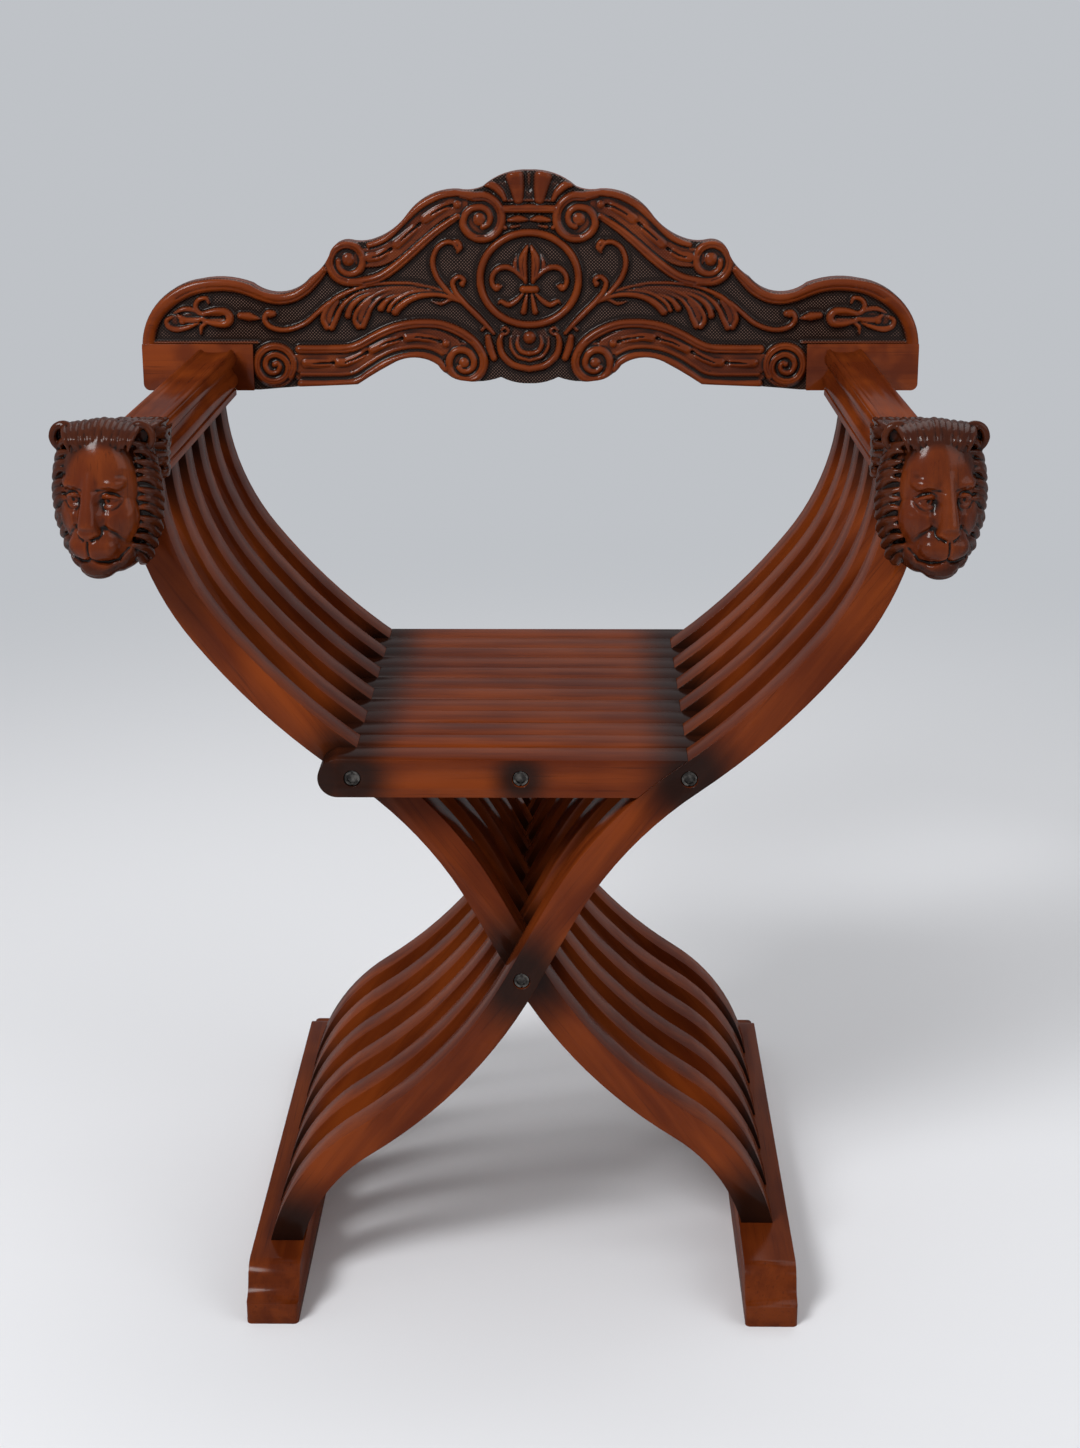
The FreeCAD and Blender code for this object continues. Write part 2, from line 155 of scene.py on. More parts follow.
class BoardCarving(bpy.types.PropertyGroup):
    """Sizes of the back board's carving."""
    ground_depth: FloatProperty(
        name="Ground depth", description="Depth of the sunk ground below the board's face",
        subtype="DISTANCE", unit="LENGTH", min=0.001, max=0.01, default=0.005)
    rim_edge: FloatProperty(
        name="Rim edge", description="Radius of the board's rim at the back", subtype="DISTANCE",
        unit="LENGTH", min=0.0002, max=0.004, default=0.0016)
    front_edge: FloatProperty(
        name="Front edge", description="Radius of the carving's edge along the outline", subtype="DISTANCE",
        unit="LENGTH", min=0.0002, max=0.003, default=0.0014)
    carving_step: FloatProperty(
        name="Carving step", description="Distance between the points of the carved front",
        subtype="DISTANCE", unit="LENGTH", min=0.0008, max=0.004, default=0.00096)


class HeadCarving(bpy.types.PropertyGroup):
    """Sizes of the carved lion heads."""
    turn: FloatProperty(
        name="Turn", description="How far each face turns away from the seat", subtype="ANGLE",
        unit="ROTATION", min=0.0, max=0.7, default=math.radians(14))
    nod: FloatProperty(
        name="Nod", description="How far each face looks down", subtype="ANGLE", unit="ROTATION",
        min=0.0, max=0.5, default=math.radians(5))
    grain: FloatProperty(
        name="Carving grain", description="Size of the facets that the carving is worked in",
        subtype="DISTANCE", unit="LENGTH", min=0.0005, max=0.003, default=0.0008)


class StageLook(bpy.types.PropertyGroup):
    """Floor and light."""
    floor_colour: FloatVectorProperty(
        name="Floor", description="Colour of the floor", subtype="COLOR", size=3,
        min=0.0, max=1.0, default=(0.80, 0.81, 0.84))
    backdrop_colour: FloatVectorProperty(
        name="Backdrop", description="Colour of the far background", subtype="COLOR", size=3,
        min=0.0, max=1.0, default=(0.52, 0.54, 0.57))
    key_power: FloatProperty(
        name="Key light", description="Power of the large lamp at the front left", subtype="POWER",
        unit="POWER", min=0.0, max=500.0, default=102.0)
    fill_power: FloatProperty(
        name="Fill light", description="Power of the large lamps at the right and behind", subtype="POWER",
        unit="POWER", min=0.0, max=500.0, default=24.0)
    sky_strength: FloatProperty(
        name="Sky", description="Strength of the even light from all sides", min=0.0, max=2.0, default=0.39)


# Materials

def node_maker(material):
    """A function that adds a node, sets its properties and constant inputs, and links its other inputs."""
    tree = material.node_tree

    def make(kind, inputs=None, **properties):
        node = tree.nodes.new(kind)
        for key, value in properties.items():
            setattr(node, key, value)
        for key, value in (inputs or {}).items():
            if isinstance(value, bpy.types.NodeSocket):
                tree.links.new(value, node.inputs[key])
            else:
                node.inputs[key].default_value = value
        return node

    return make


def empty_material(name):
    """A material without nodes, and the function that adds them."""
    material = bpy.data.materials.new(name)
    material.use_nodes = True
    material.node_tree.nodes.clear()
    return material, node_maker(material)


def colour(values):
    """A colour with its alpha."""
    return (*values, 1.0)


def blend_colours(make, share, first, second):
    """Colour between two, by a share. The mixing node's sockets for colours are numbers 6, 7 and 2."""
    return make("ShaderNodeMix", {0: share, 6: first, 7: second}, data_type="RGBA").outputs[2]


def ramp(make, value, low, high, from_value=0.0, to_value=1.0):
    """A smooth step of a value, from one level at low to another at high."""
    limits = {"Value": value, "From Min": low, "From Max": high, "To Min": from_value, "To Max": to_value}
    return make("ShaderNodeMapRange", limits, interpolation_type="SMOOTHSTEP").outputs["Result"]


def calculate(make, operation, first, second=0.0):
    """One step of arithmetic on values."""
    return make("ShaderNodeMath", {0: first, 1: second}, operation=operation).outputs["Value"]


def times(make, first, second):
    """The product of two values."""
    return calculate(make, "MULTIPLY", first, second)


def part_along(make, vector, axis):
    """A vector's part along one axis."""
    return make("ShaderNodeSeparateXYZ", {"Vector": vector}).outputs[axis]


def noise(make, place, scale, detail, roughness=0.5):
    """Cloudy noise between nothing and one."""
    inputs = {"Vector": place, "Scale": scale, "Detail": detail, "Roughness": roughness}
    return make("ShaderNodeTexNoise", inputs).outputs["Fac"]


def stored(make, name):
    """A value that is stored at each point of the carving."""
    return make("ShaderNodeAttribute", attribute_name=name).outputs["Fac"]


def streaks(make, place, grain_turn, along, across, detail=5.0):
    """Noise drawn out along the grain, which lies along X before it is turned about Y and Z."""
    turned = make("ShaderNodeMapping", {"Vector": place, "Rotation": (0.0, *grain_turn)}).outputs["Vector"]
    drawn = make("ShaderNodeMapping", {"Vector": turned, "Scale": (along, across, across)}).outputs["Vector"]
    inputs = {"Vector": drawn, "Scale": 1.0, "Detail": detail, "Roughness": 0.55, "Distortion": 0.25}
    return make("ShaderNodeTexNoise", inputs).outputs["Fac"]


def punched_lattice(make, place, pitch=2.8 * mm, unevenness=1.8 * mm):
    """One on the tips of a diagonal lattice of punch marks, a little uneven as if struck by hand."""
    shift = make("ShaderNodeTexNoise", {"Vector": place, "Scale": 70.0, "Detail": 1.0}).outputs["Color"]
    shift = make("ShaderNodeVectorMath", {0: shift, "Scale": unevenness}, operation="SCALE").outputs["Vector"]
    moved = make("ShaderNodeVectorMath", {0: place, 1: shift}, operation="ADD").outputs["Vector"]
    waves = [calculate(make, "SINE", times(make, part_along(make, moved, axis), math.tau / pitch))
             for axis in ("X", "Z")]
    return ramp(make, times(make, *waves), 0.15, 0.85)


def near_spots(make, place, spots):
    """One on the given spots of the front view, falling to nothing at each spot's edge. A spot is given by
    its place, its radius and its share on the faces that look up, down or sideways."""
    core = 0.25
    flat = make("ShaderNodeVectorMath", {0: place, 1: (1.0, 0.0, 1.0)}, operation="MULTIPLY")
    facing = calculate(make, "ABSOLUTE", part_along(make, make("ShaderNodeTexCoord").outputs["Normal"], "Y"))
    darkest = 0.0
    for x, z, radius, edge_share in spots:
        away = make("ShaderNodeVectorMath", {0: flat.outputs["Vector"], 1: (x, 0.0, z)}, operation="DISTANCE")
        near = ramp(make, away.outputs["Value"], core * radius, radius, 1.0, 0.0)
        near = times(make, near, ramp(make, facing, 0.4, 0.9, edge_share, 1.0))
        darkest = calculate(make, "MAXIMUM", darkest, near)
    return darkest


def stained_and_shaded_carving(make, wood, place, hollow, finish):
    """Carved wood: patchy, lighter on its ridges from wear and a painted highlight, dark all over the mane
    and darkest in its hollows from stain and painted shade.
    """
    patches = ramp(make, noise(make, place, scale=42.0, detail=2.0), 0.42, 0.64, to_value=0.75)
    wood = blend_colours(make, patches, wood, colour(finish.stained))
    # Lighter on the ridges: partly rubbed wear and partly a painted highlight.
    ridges = ramp(make, hollow, -0.15 * mm, -0.7 * mm, to_value=0.4)
    wood = blend_colours(make, ridges, wood, colour(finish.rubbed))
    # Dark all over the mane: partly stain and partly painted shade.
    mane = times(make, stored(make, "mane"), finish.mane_stain_and_shade)
    wood = blend_colours(make, mane, wood, colour(finish.burnish_and_shade))
    # Darkest in the hollows: dark stain and painted shade.
    hollows = ramp(make, hollow, 0.05 * mm, 0.5 * mm)
    return blend_colours(make, hollows, wood, colour(finish.burnish_and_shade))


def punched_ground(make, wood, place, hollow, face, ground, finish):
    """The board's sunk ground between its face and its slab, dark with worn punch marks whose light tips are
    partly a painted glint. The marks are fewer beside the ridges as painted shade, and the ridges' flanks
    darken towards the ground as painted shade. Gives the wood, and how far the marks stand out."""
    behind = part_along(make, place, "Y")
    # The ridges' flanks darken as they sink towards the ground: painted shade, over the ground's own dark
    # stain.
    below_face = ramp(make, behind, face + 1.2 * mm, ground - 0.4 * mm)
    before_slab = ramp(make, behind, ground + 0.2 * mm, ground + 0.6 * mm, 1.0, 0.0)
    low = times(make, below_face, before_slab)
    # Fewer light punch tips beside the ridges, so the ground there is darker: painted shade.
    painted_shade_beside_ridges = ramp(make, hollow, -0.02 * mm, 0.22 * mm, 1.0, 0.25)
    punched = times(make, punched_lattice(make, place), painted_shade_beside_ridges)
    # The punch tips' lighter colour is partly wear and partly a painted glint.
    marked = blend_colours(make, punched, colour(finish.burnish_and_shade), colour(finish.worn_ground_and_glint))
    return blend_colours(make, low, wood, marked), times(make, times(make, punched, low), 6.0)


def walnut(name, finish, grain_turn=grain_across, spots=(), carved=False, sunk_ground=None, tone=1.0):
    """Stained and lacquered walnut. Spots are darkened by burnish, and carved wood is dark in its hollows
    from stain and painted shade. A sunk ground is given by the places of the board's face and of the ground."""
    broad_share, pore_stain, spot_stain = 0.6, 0.5, 0.93
    material, make = empty_material(name)
    place = make("ShaderNodeTexCoord").outputs["Object"]
    broad = streaks(make, place, grain_turn, along=5.0, across=55.0)
    fine = streaks(make, place, grain_turn, along=14.0, across=640.0, detail=3.0)
    cloud = noise(make, place, scale=11.0, detail=2.0)
    figure = calculate(make, "ADD", times(make, broad, broad_share), times(make, cloud, 1 - broad_share))
    rubbed, stained = [colour(min(1.0, level * tone) for level in shade)
                       for shade in (finish.rubbed, finish.stained)]
    wood = blend_colours(make, ramp(make, figure, 0.36, 0.66), stained, rubbed)
    pores = ramp(make, fine, 0.55, 0.75, to_value=pore_stain)
    wood = blend_colours(make, pores, wood, colour(finish.streak))
    relief = calculate(make, "ADD", times(make, fine, 0.5), times(make, broad, 0.5))
    rough = ramp(make, fine, 0.3, 0.8, finish.roughness - 0.07, finish.roughness + 0.10)
    if spots:
        uneven = times(make, near_spots(make, place, spots), ramp(make, cloud, 0.15, 0.45, 0.75, 1.0))
        wood = blend_colours(make, times(make, uneven, spot_stain), wood, colour(finish.burnish_and_shade))
    if carved:
        hollow = stored(make, "hollow")
        wood = stained_and_shaded_carving(make, wood, place, hollow, finish)
        if sunk_ground:
            wood, marks = punched_ground(make, wood, place, hollow, *sunk_ground, finish)
            relief = calculate(make, "ADD", relief, marks)
    bump = make("ShaderNodeBump", {"Height": relief, "Strength": 0.35, "Distance": 0.12 * mm})
    shader = make("ShaderNodeBsdfPrincipled", {
        "Base Color": wood, "Roughness": rough, "Normal": bump.outputs["Normal"],
        "Coat Weight": finish.carved_lacquer if carved else finish.plain_lacquer,
        "Coat Roughness": 0.17, "Specular IOR Level": 0.0})
    make("ShaderNodeOutputMaterial", {"Surface": shader.outputs["BSDF"]})
    return material


def dark_steel(name, finish):
    """Blackened steel, a little uneven and rubbed brighter in places."""
    material, make = empty_material(name)
    place = make("ShaderNodeTexCoord").outputs["Object"]
    worn = noise(make, place, scale=260.0, detail=4.0, roughness=0.6)
    shade = blend_colours(make, ramp(make, worn, 0.4, 0.7), colour(finish.blackened), colour(finish.rubbed))
    bump = make("ShaderNodeBump", {"Height": worn, "Strength": 0.3, "Distance": 0.1 * mm})
    shader = make("ShaderNodeBsdfPrincipled", {
        "Base Color": shade, "Metallic": 0.9, "Normal": bump.outputs["Normal"],
        "Roughness": ramp(make, worn, 0.3, 0.8, 0.32, 0.55)})
    make("ShaderNodeOutputMaterial", {"Surface": shader.outputs["BSDF"]})
    return material


# Pieces

def body_of(node):
    """The body that a node rides on."""
    return frame["nodes"][node]["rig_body"]


def middle(node):
    """The middle of a node's box."""
    low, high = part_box(node)
    return (low + high) / 2


def shape_mesh(shape, name):
    """A shape as a mesh, and the shape given up."""
    mesh = bpy.data.meshes.new(name)
    shape.to_mesh(mesh)
    shape.free()
    return mesh


def points_of(mesh):
    """The places of a mesh's points."""
    places = np.empty(len(mesh.vertices) * 3)
    mesh.vertices.foreach_get("co", places)
    return places.reshape(-1, 3)


def finished_piece(name, mesh, node, material):
    """Links a finished mesh as the piece that rides on a node's body and stands for the node."""
    mesh.materials.append(material)
    piece = bpy.data.objects.new(name, mesh)
    bpy.context.scene.collection.objects.link(piece)
    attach(piece, body_of(node))
    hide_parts(node)
    return piece


def merged_shape(node):
    """A node's shape with its triangles joined and its flat faces whole."""
    same_point, same_plane = 0.002 * mm, math.radians(0.4)
    shape = bmesh.new()
    shape.from_mesh(frame["nodes"][node].data)
    bmesh.ops.remove_doubles(shape, verts=shape.verts, dist=same_point)
    bmesh.ops.dissolve_limit(shape, angle_limit=same_plane, verts=shape.verts, edges=shape.edges)
    return shape


def eased_piece(node, material, radius, segments):
    """A piece of joinery: a copy of its node with every edge eased. The small turns between the faces of a
    curve are no edges."""
    name = f"{node}_walnut"
    mesh = shape_mesh(merged_shape(node), name)
    mesh.shade_smooth()
    bevel = finished_piece(name, mesh, node, material).modifiers.new("Eased edges", "BEVEL")
    bevel.width = radius
    bevel.segments = segments
    bevel.limit_method = "ANGLE"
    bevel.angle_limit = math.radians(28)
    bevel.harden_normals = True


def new_strokes():
    """A curve that holds carved ridges, each as round and as wide as its points say."""
    curve = bpy.data.curves.new("strokes", "CURVE")
    curve.dimensions = "3D"
    curve.bevel_depth = 1.0
    curve.bevel_resolution = 3
    curve.resolution_u = 5
    curve.use_fill_caps = True
    return curve


def add_stroke(curve, points, half_widths):
    """One ridge through the points. Its half width runs evenly through the given ones, in millimetres."""
    spline = curve.splines.new("BEZIER")
    spline.bezier_points.add(len(points) - 1)
    shares = np.linspace(0, len(half_widths) - 1, len(points))
    radii = np.interp(shares, range(len(half_widths)), [width * mm for width in half_widths])
    for knot, point, radius in zip(spline.bezier_points, points, radii):
        knot.co = point
        knot.radius = float(radius)
        knot.handle_left_type = knot.handle_right_type = "AUTO"


def strokes_mesh(curve):
    """The ridges as a mesh, and the curve taken away."""
    carrier = bpy.data.objects.new("strokes", curve)
    bpy.context.scene.collection.objects.link(carrier)
    depsgraph = bpy.context.evaluated_depsgraph_get()
    mesh = bpy.data.meshes.new_from_object(carrier.evaluated_get(depsgraph))
    bpy.data.objects.remove(carrier)
    bpy.data.curves.remove(curve)
    return mesh


# Back board: carved ridges on its right half, as (x, z) in millimetres, with the half widths along each

def volute(centre, first_angle, quarter_radii, turning=1):
    """Points of a spiral whose radius is given at every quarter turn."""
    points = []
    steps_per_quarter = 3
    for step in range(steps_per_quarter * (len(quarter_radii) - 1) + 1):
        radius = np.interp(step / steps_per_quarter, range(len(quarter_radii)), quarter_radii)
        angle = math.radians(first_angle + turning * 90 * step / steps_per_quarter)
        points.append((centre[0] + radius * math.cos(angle), centre[1] + radius * math.sin(angle)))
    return points


def ellipse(centre, half_width, half_height, count=24):
    """Points round an ellipse."""
    return [(centre[0] + half_width * math.cos(math.tau * i / count),
             centre[1] + half_height * math.sin(math.tau * i / count)) for i in range(count)]


def beside(points, offset):
    """The path moved sideways, to the left of its direction."""
    flat = [Vector(point) for point in points]
    moved = []
    for i, point in enumerate(flat):
        way = (flat[min(i + 1, len(flat) - 1)] - flat[max(i - 1, 0)]).normalized()
        moved.append((point.x - way.y * offset, point.y + way.x * offset))
    return moved


def stretch_between(points, start_x, end_x):
    """The part of a path between two values of x, in seven points."""
    ordered = sorted(points)
    return [(x, np.interp(x, [p[0] for p in ordered], [p[1] for p in ordered]))
            for x in np.linspace(start_x, end_x, 7)]


def reeded_strip(centre_line, starts, half_width):
    """A chain of tongues, each blunt where it starts and parted by a groove into two reeds where it runs out.
    Gives its ridges and its grooves."""
    tongue_crown, parting_depth, gap = 4.4, 3.0, 0.6
    ridges, grooves = [], []
    for start, end in zip(starts, starts[1:]):
        way = math.copysign(1.0, end - start)
        span = stretch_between(centre_line, start + way * 0.85 * half_width,
                               end - way * (0.75 * half_width + gap))
        ridges.append((span, [half_width, half_width, 0.96 * half_width, 0.8 * half_width], tongue_crown))
        parting = stretch_between(centre_line, start + 0.35 * (end - start), end)
        grooves.append((parting, [0.4, 1.0, 1.6], parting_depth))
    return ridges, grooves


crest_bead = [(137, 776.5), (128, 779.3), (118, 785.3), (106, 797), (95, 807), (84, 814), (72, 818.6),
              (60, 819.9)]
crest_volute = volute((41.5, 799.5), 72, [19.4, 18.2, 17.2, 15.6, 10.0, 8.4, 7.0])
under_bead = [(61, 801.5), (68, 797), (79, 789.5), (91, 779.7), (104, 768.2), (118, 757), (130, 749.8),
              (143, 746.6)]
shoulder_volute = volute((155.5, 763.5), 275, [17.0, 16.2, 14.3, 12.2, 10.4, 8.6])
crest_strip = [(60, 811.5), (72, 809.5), (80, 805.5), (90, 798.5), (100, 790), (118, 774.5), (130, 768),
               (143, 766.5)]
arch_bead = [(200, 688.2), (178, 688.2), (158, 688.9), (147, 692.4), (132, 700.4), (118, 706.4), (104, 709.6),
             (90, 710.5), (76, 709.2), (62, 704), (50, 696.2)]
arch_volute = volute((56.5, 676.0), 145, [17.6, 15.2, 13.8, 13.4, 8.8, 7.0, 6.0])
arch_strip = [(201, 676.4), (176, 676.4), (160, 677), (150, 681), (139, 687), (124, 694.2), (110, 698.0),
              (98, 699.2), (86, 697.8), (78, 695.4), (68, 690.5)]
foot_bead = [(199, 658.9), (175, 658.8), (152, 660.6), (139, 668.2), (127, 675.7), (114, 681), (100, 683.7),
             (88, 682.4), (79, 677.8), (74, 671.5)]
foot_rib = [(199, 666.8), (176, 666.8), (155, 667.8), (142, 675.0), (130, 682.4), (116, 688.3), (100, 690.9),
            (86, 689.4), (76, 684.9)]
corner_volute = volute((221.8, 674.6), 215, [16.4, 16.2, 15.8, 15.2, 12.6, 9.4, 8.8, 7.6, 4.6, 2.6], -1)
end_bead = [(331, 686), (331, 696), (328.8, 706), (324, 716), (316.5, 725), (306, 733), (294, 739),
            (280, 742.4), (264, 743.2), (251, 741.4), (240, 737.8), (228, 733), (216, 730.8), (204, 732.8),
            (194, 738.3), (186.5, 745.0), (180.5, 751.3), (177.0, 755.8)]

# Each ridge: its points, its half widths from start to end, and how high its crown stands on the ground
broad_ridges = [
    (beside(crest_bead, -0.8) + crest_volute, [3.0, 4.8, 4.9, 4.5, 4.0, 3.9, 3.6, 3.2], 4.9),
    (under_bead + shoulder_volute, [3.0, 4.6, 4.8, 4.6, 4.0, 3.7, 2.9], 4.9),
    (arch_bead + arch_volute, [4.4, 4.6, 4.6, 4.5, 4.0, 3.8, 3.0], 4.9),
    (beside(foot_bead, 0.6), [4.4, 4.4], 4.8),
    (foot_rib, [2.4, 2.4], 3.6),
    (corner_volute, [3.5, 3.6, 3.6, 3.3, 3.0, 2.6], 4.9),
    (beside(end_bead, -0.8), [6.6, 6.9, 6.9, 6.3, 5.8, 5.4, 4.2], 4.9),
    ([(36, 699), (34.5, 690), (31, 681)], [3.0, 4.4, 3.6], 4.4),
    ([(38, 708), (41, 705)], [1.6, 2.0], 3.0),
    ([(236, 694.2), (281, 694.2), (326, 694.2)], [1.4, 1.4], 2.8),
]
crest_ridges = [
    ([(9.0, 815.5), (10.2, 825), (12.0, 834.5)], [5.2, 7.0, 8.6], 4.9),
    ([(0, 826), (0, 831), (0, 837)], [0.7, 1.4, 1.8], 1.8),
    ([(20.5, 815.5), (24.5, 822), (30.5, 827.0), (37, 828.2)], [2.4, 4.0, 4.2, 2.4], 4.2),
    ([(0, 814.9), (11, 814.9), (23, 814.3)], [1.5, 1.5, 1.2], 3.4),
    ([(0, 808), (10, 807.9), (19.5, 807.4)], [4.3, 4.3, 3.8], 4.8),
    ([(1.5, 798.6), (9, 799.4), (17.5, 798.2)], [1.6, 3.9, 2.0], 4.2),
    ([(20.5, 792), (24.5, 794.5)], [2.4, 1.6], 3.6),
    ([(8, 793.6), (15, 792.4)], [1.2, 1.8], 3.0),
]
medallion_ridges = [
    ([(3.2, 746), (5.4, 757), (5.4, 766), (1.6, 776.5)], [2.2, 4.6, 4.4, 1.6], 4.7),
    ([(8.5, 750), (12.2, 760), (10.6, 769)], [1.2, 2.7, 0.8], 3.4),
    ([(4.5, 747.5), (10, 753.8), (18, 758.4), (26, 757.6), (31.3, 752), (32, 745), (28.5, 739.8),
      (24.4, 742.4)], [1.8, 2.6, 3.0, 2.9, 2.7, 2.6, 2.3, 1.6], 4.2),
    ([(0, 739.8), (5.2, 739.8)], [3.8, 3.8], 4.8),
    ([(5.5, 736), (11.5, 730), (18, 726.6), (24.5, 729.4), (27, 727)], [1.6, 2.6, 3.0, 2.2, 1.0], 4.0),
    ([(2.2, 735), (3.6, 728), (5.0, 720.5)], [1.6, 2.4, 3.2], 4.2),
]
cartouche_ridges = [
    ([(24.5, 704.5), (21.5, 707), (18.2, 704.4), (20.4, 701.4), (23.8, 701), (26, 694), (23.4, 683.5),
      (14, 674.8), (0, 671.4)], [1.4, 1.8, 1.8, 1.6, 2.2, 3.2, 3.5, 3.5, 3.5], 4.6),
    ([(16.5, 699), (16, 690), (10.5, 682.2), (0, 678.8)], [1.2, 1.9, 2.0, 2.0], 3.4),
    ([(9.6, 700), (10.6, 692.5), (7.2, 686.6), (0, 684.4)], [1.4, 2.4, 2.6, 2.6], 4.2),
]
spray_ridges = [
    ([(31, 702), (39, 711), (48, 720), (57, 729), (64, 738), (66, 746), (61, 750.5), (56.5, 748),
      (57.5, 743.5)], [2.0, 3.1, 3.0, 2.7, 2.5, 2.3], 4.3),
    ([(56, 727), (64, 732.5), (73, 741), (80, 751), (83, 763), (79.5, 774), (72, 779.5), (65, 779),
      (61.5, 774)], [1.6, 2.6, 2.9, 2.8, 2.6, 2.4, 2.0], 4.2),
    ([(66, 779.4), (61.4, 780), (59.0, 775.6), (61.6, 771.4)], [1.8, 2.5, 2.5, 1.6], 4.0),
    ([(57, 728), (67, 731.2), (76, 727.6), (84, 729.4)], [1.6, 2.1, 2.0, 1.0], 3.0),
    ([(160, 734), (172, 729), (183, 720), (194, 711), (206, 706), (217, 705.2), (226, 708.5), (229.5, 714.5),
      (226.5, 719.5), (222, 719)], [1.6, 2.6, 2.7, 2.7, 2.8, 3.1, 3.4], 4.2),
    ([(234, 714.8), (243, 716.4), (250.5, 717.4)], [1.4, 4.5, 3.4], 4.4),
    ([(283, 719), (273, 721), (264, 720.6), (259.6, 716), (262.5, 710.8), (271, 710.2), (282, 713)],
     [2.4, 3.4, 4.0, 4.2, 4.0, 3.2, 2.2], 4.7),
    ([(278, 718.5), (286, 720), (289, 725.5), (286, 731), (279.5, 732.4), (277.6, 728.4)],
     [2.1, 2.8, 2.8, 2.5, 2.2, 1.7], 4.1),
    ([(281, 715), (291, 713.6), (299, 713.8), (304.5, 717.5)], [2.2, 2.8, 3.6, 1.8], 4.1),
    ([(287, 711), (297, 707.4), (306, 705.6), (313, 708), (314.4, 713.4), (309.5, 716.6)],
     [1.6, 2.6, 3.1, 3.0, 2.6, 1.6], 4.2),
    ([(283, 718), (291, 722.4), (299.5, 723), (308, 719.6)], [1.6, 2.5, 2.7, 1.3], 3.9),
    ([(279, 711.5), (284.5, 708), (285.5, 702)], [1.6, 2.4, 1.4], 3.4),
]
# The leaf's ridges, from the stem to the tip of each lobe, with their half widths
leaf_ridges = [
    ([(84, 741), (98, 744.5), (114, 745.3), (130, 744.5), (146, 741.5), (158, 737), (168, 731.5),
      (175.5, 723.5), (178.6, 714.5), (175.6, 707.5)], [1.4, 1.7, 1.9, 2.2, 2.6, 3.0, 3.2]),
    ([(120, 742), (136, 740), (148, 736.4), (157, 730.5), (163.5, 723), (167.6, 714.5), (171.5, 707)],
     [1.1, 1.5, 2.1, 2.9, 3.3]),
    ([(118, 739.6), (132, 737.6), (142, 734.3), (150, 729.5), (155, 723.5), (157, 717.5)],
     [1.0, 1.6, 2.5, 3.4, 3.6]),
    ([(98, 741.6), (112, 741.4), (125, 738.7), (136.5, 733.2), (145, 726.4), (150.3, 718.6), (150.9, 712.4),
      (148, 708)], [1.2, 1.7, 2.1, 2.8, 3.2]),
    ([(114, 738.0), (124, 735.0), (132, 730), (137.6, 723), (140.9, 715.5), (144.4, 708.5)],
     [1.1, 1.8, 2.7, 3.3]),
    ([(108, 736.4), (117, 733.6), (124, 729.4), (128.4, 723.6)], [1.2, 2.3, 3.6]),
    ([(78, 738), (90, 738.8), (102, 737.2), (112, 732.6), (118.6, 727.4), (121.6, 722)],
     [1.3, 1.8, 2.2, 2.6]),
    ([(58, 728.5), (70, 733.6), (82, 735.4), (94, 734.4), (104, 730.8), (111.6, 725.4), (116, 720.6)],
     [2.0, 2.4, 2.8, 3.3, 3.8, 4.1]),
    ([(60, 730), (72, 737), (84, 741.5), (98, 743.6)], [1.6, 1.7, 1.4]),
]
# Incised lines: points, half widths and depth
incised_lines = [
    (beside(crest_bead, 1.9), [0.8, 0.9], 1.3),
    (beside(crest_volute[:8], 1.7), [0.9, 0.8], 1.1),
    (beside(under_bead, -1.1), [0.9, 1.0], 1.3),
    (beside(shoulder_volute[:9], 0.9), [0.9, 0.8], 1.1),
    (beside(arch_bead, 0.8), [0.9, 0.9], 1.2),
    (beside(arch_volute[:6], 1.0), [0.9, 0.8], 1.0),
    (beside(end_bead[5:], 1.0), [0.9, 0.9], 1.0),
    (corner_volute[:20], [0.9, 0.9, 0.7], 1.1),
    ([(281, 715.8), (272, 715.8), (264.5, 716.2)], [0.8, 1.3, 1.5], 2.6),
    ([(4.2, 750), (5.6, 759), (4.2, 769)], [0.7, 0.8, 0.6], 1.4),
    ([(0, 808), (16, 807.6)], [0.7, 0.7], 0.9),
]
# Round knobs: x, z, half width and height
knobs = [(42.0, 799.2, 7.2, 4.7), (155.6, 765.4, 7.0, 4.7), (56.8, 676.4, 6.0, 4.7), (221.9, 675.4, 3.2, 4.6),
         (57.8, 744.8, 3.0, 4.2), (224.5, 718.4, 3.7, 4.4), (300.5, 713, 4.0, 4.4), (20.8, 807.4, 4.2, 4.8),
         (72.4, 693.4, 4.3, 4.8), (27.3, 742.0, 3.1, 4.2), (61, 811.4, 4.4, 4.8), (0, 698.6, 6.3, 5.0),
         (0, 685, 2.6, 4.6)]
# Low beds that fill the ground between the ridges of a band or scroll: points, half widths and height
scroll_beds = [
    (crest_strip, [9.5, 11.0, 9.0], 2.8),
    (arch_strip, [9.5, 9.5], 2.8),
    (foot_rib, [7.0, 7.0], 2.3),
    ([(41.5, 800), (42, 800.4)], [19.5, 19.5], 2.3),
    ([(155.5, 764), (156, 764)], [16.5, 16.5], 2.3),
    ([(55.5, 677), (56, 677)], [18.5, 18.5], 2.3),
    ([(221.5, 674.8), (222, 674.8)], [20.5, 20.5], 2.3),
    ([(268, 715.5), (282, 715)], [8.0, 5.0], 2.6),
    ([(290, 716), (306, 712)], [6.0, 7.0], 1.9),
    ([(92, 739), (112, 738.5), (130, 736.5), (146, 732), (160, 726)], [3.0, 5.5, 6.5, 6.5, 5.5], 2.2),
    ([(166, 730), (172.5, 720), (174, 712)], [3.0, 4.0, 3.5], 3.2),
    ([(138, 730), (145, 720), (146.5, 712)], [3.0, 4.0, 3.5], 3.2),
    ([(5, 818), (22, 822)], [7.0, 9.0], 1.2),
    ([(0, 697), (0, 688)], [17.0, 15.0], 1.4),
]
medallion = ((0, 748.6), 42.4, 39.2)
medallion_half_width, medallion_crown = 3.7, 4.9
leaf_crown = 4.4
# The plain corner blocks: how far from the middle they start, and their top, in metres
block_side, block_top = 0.2405, 0.6932


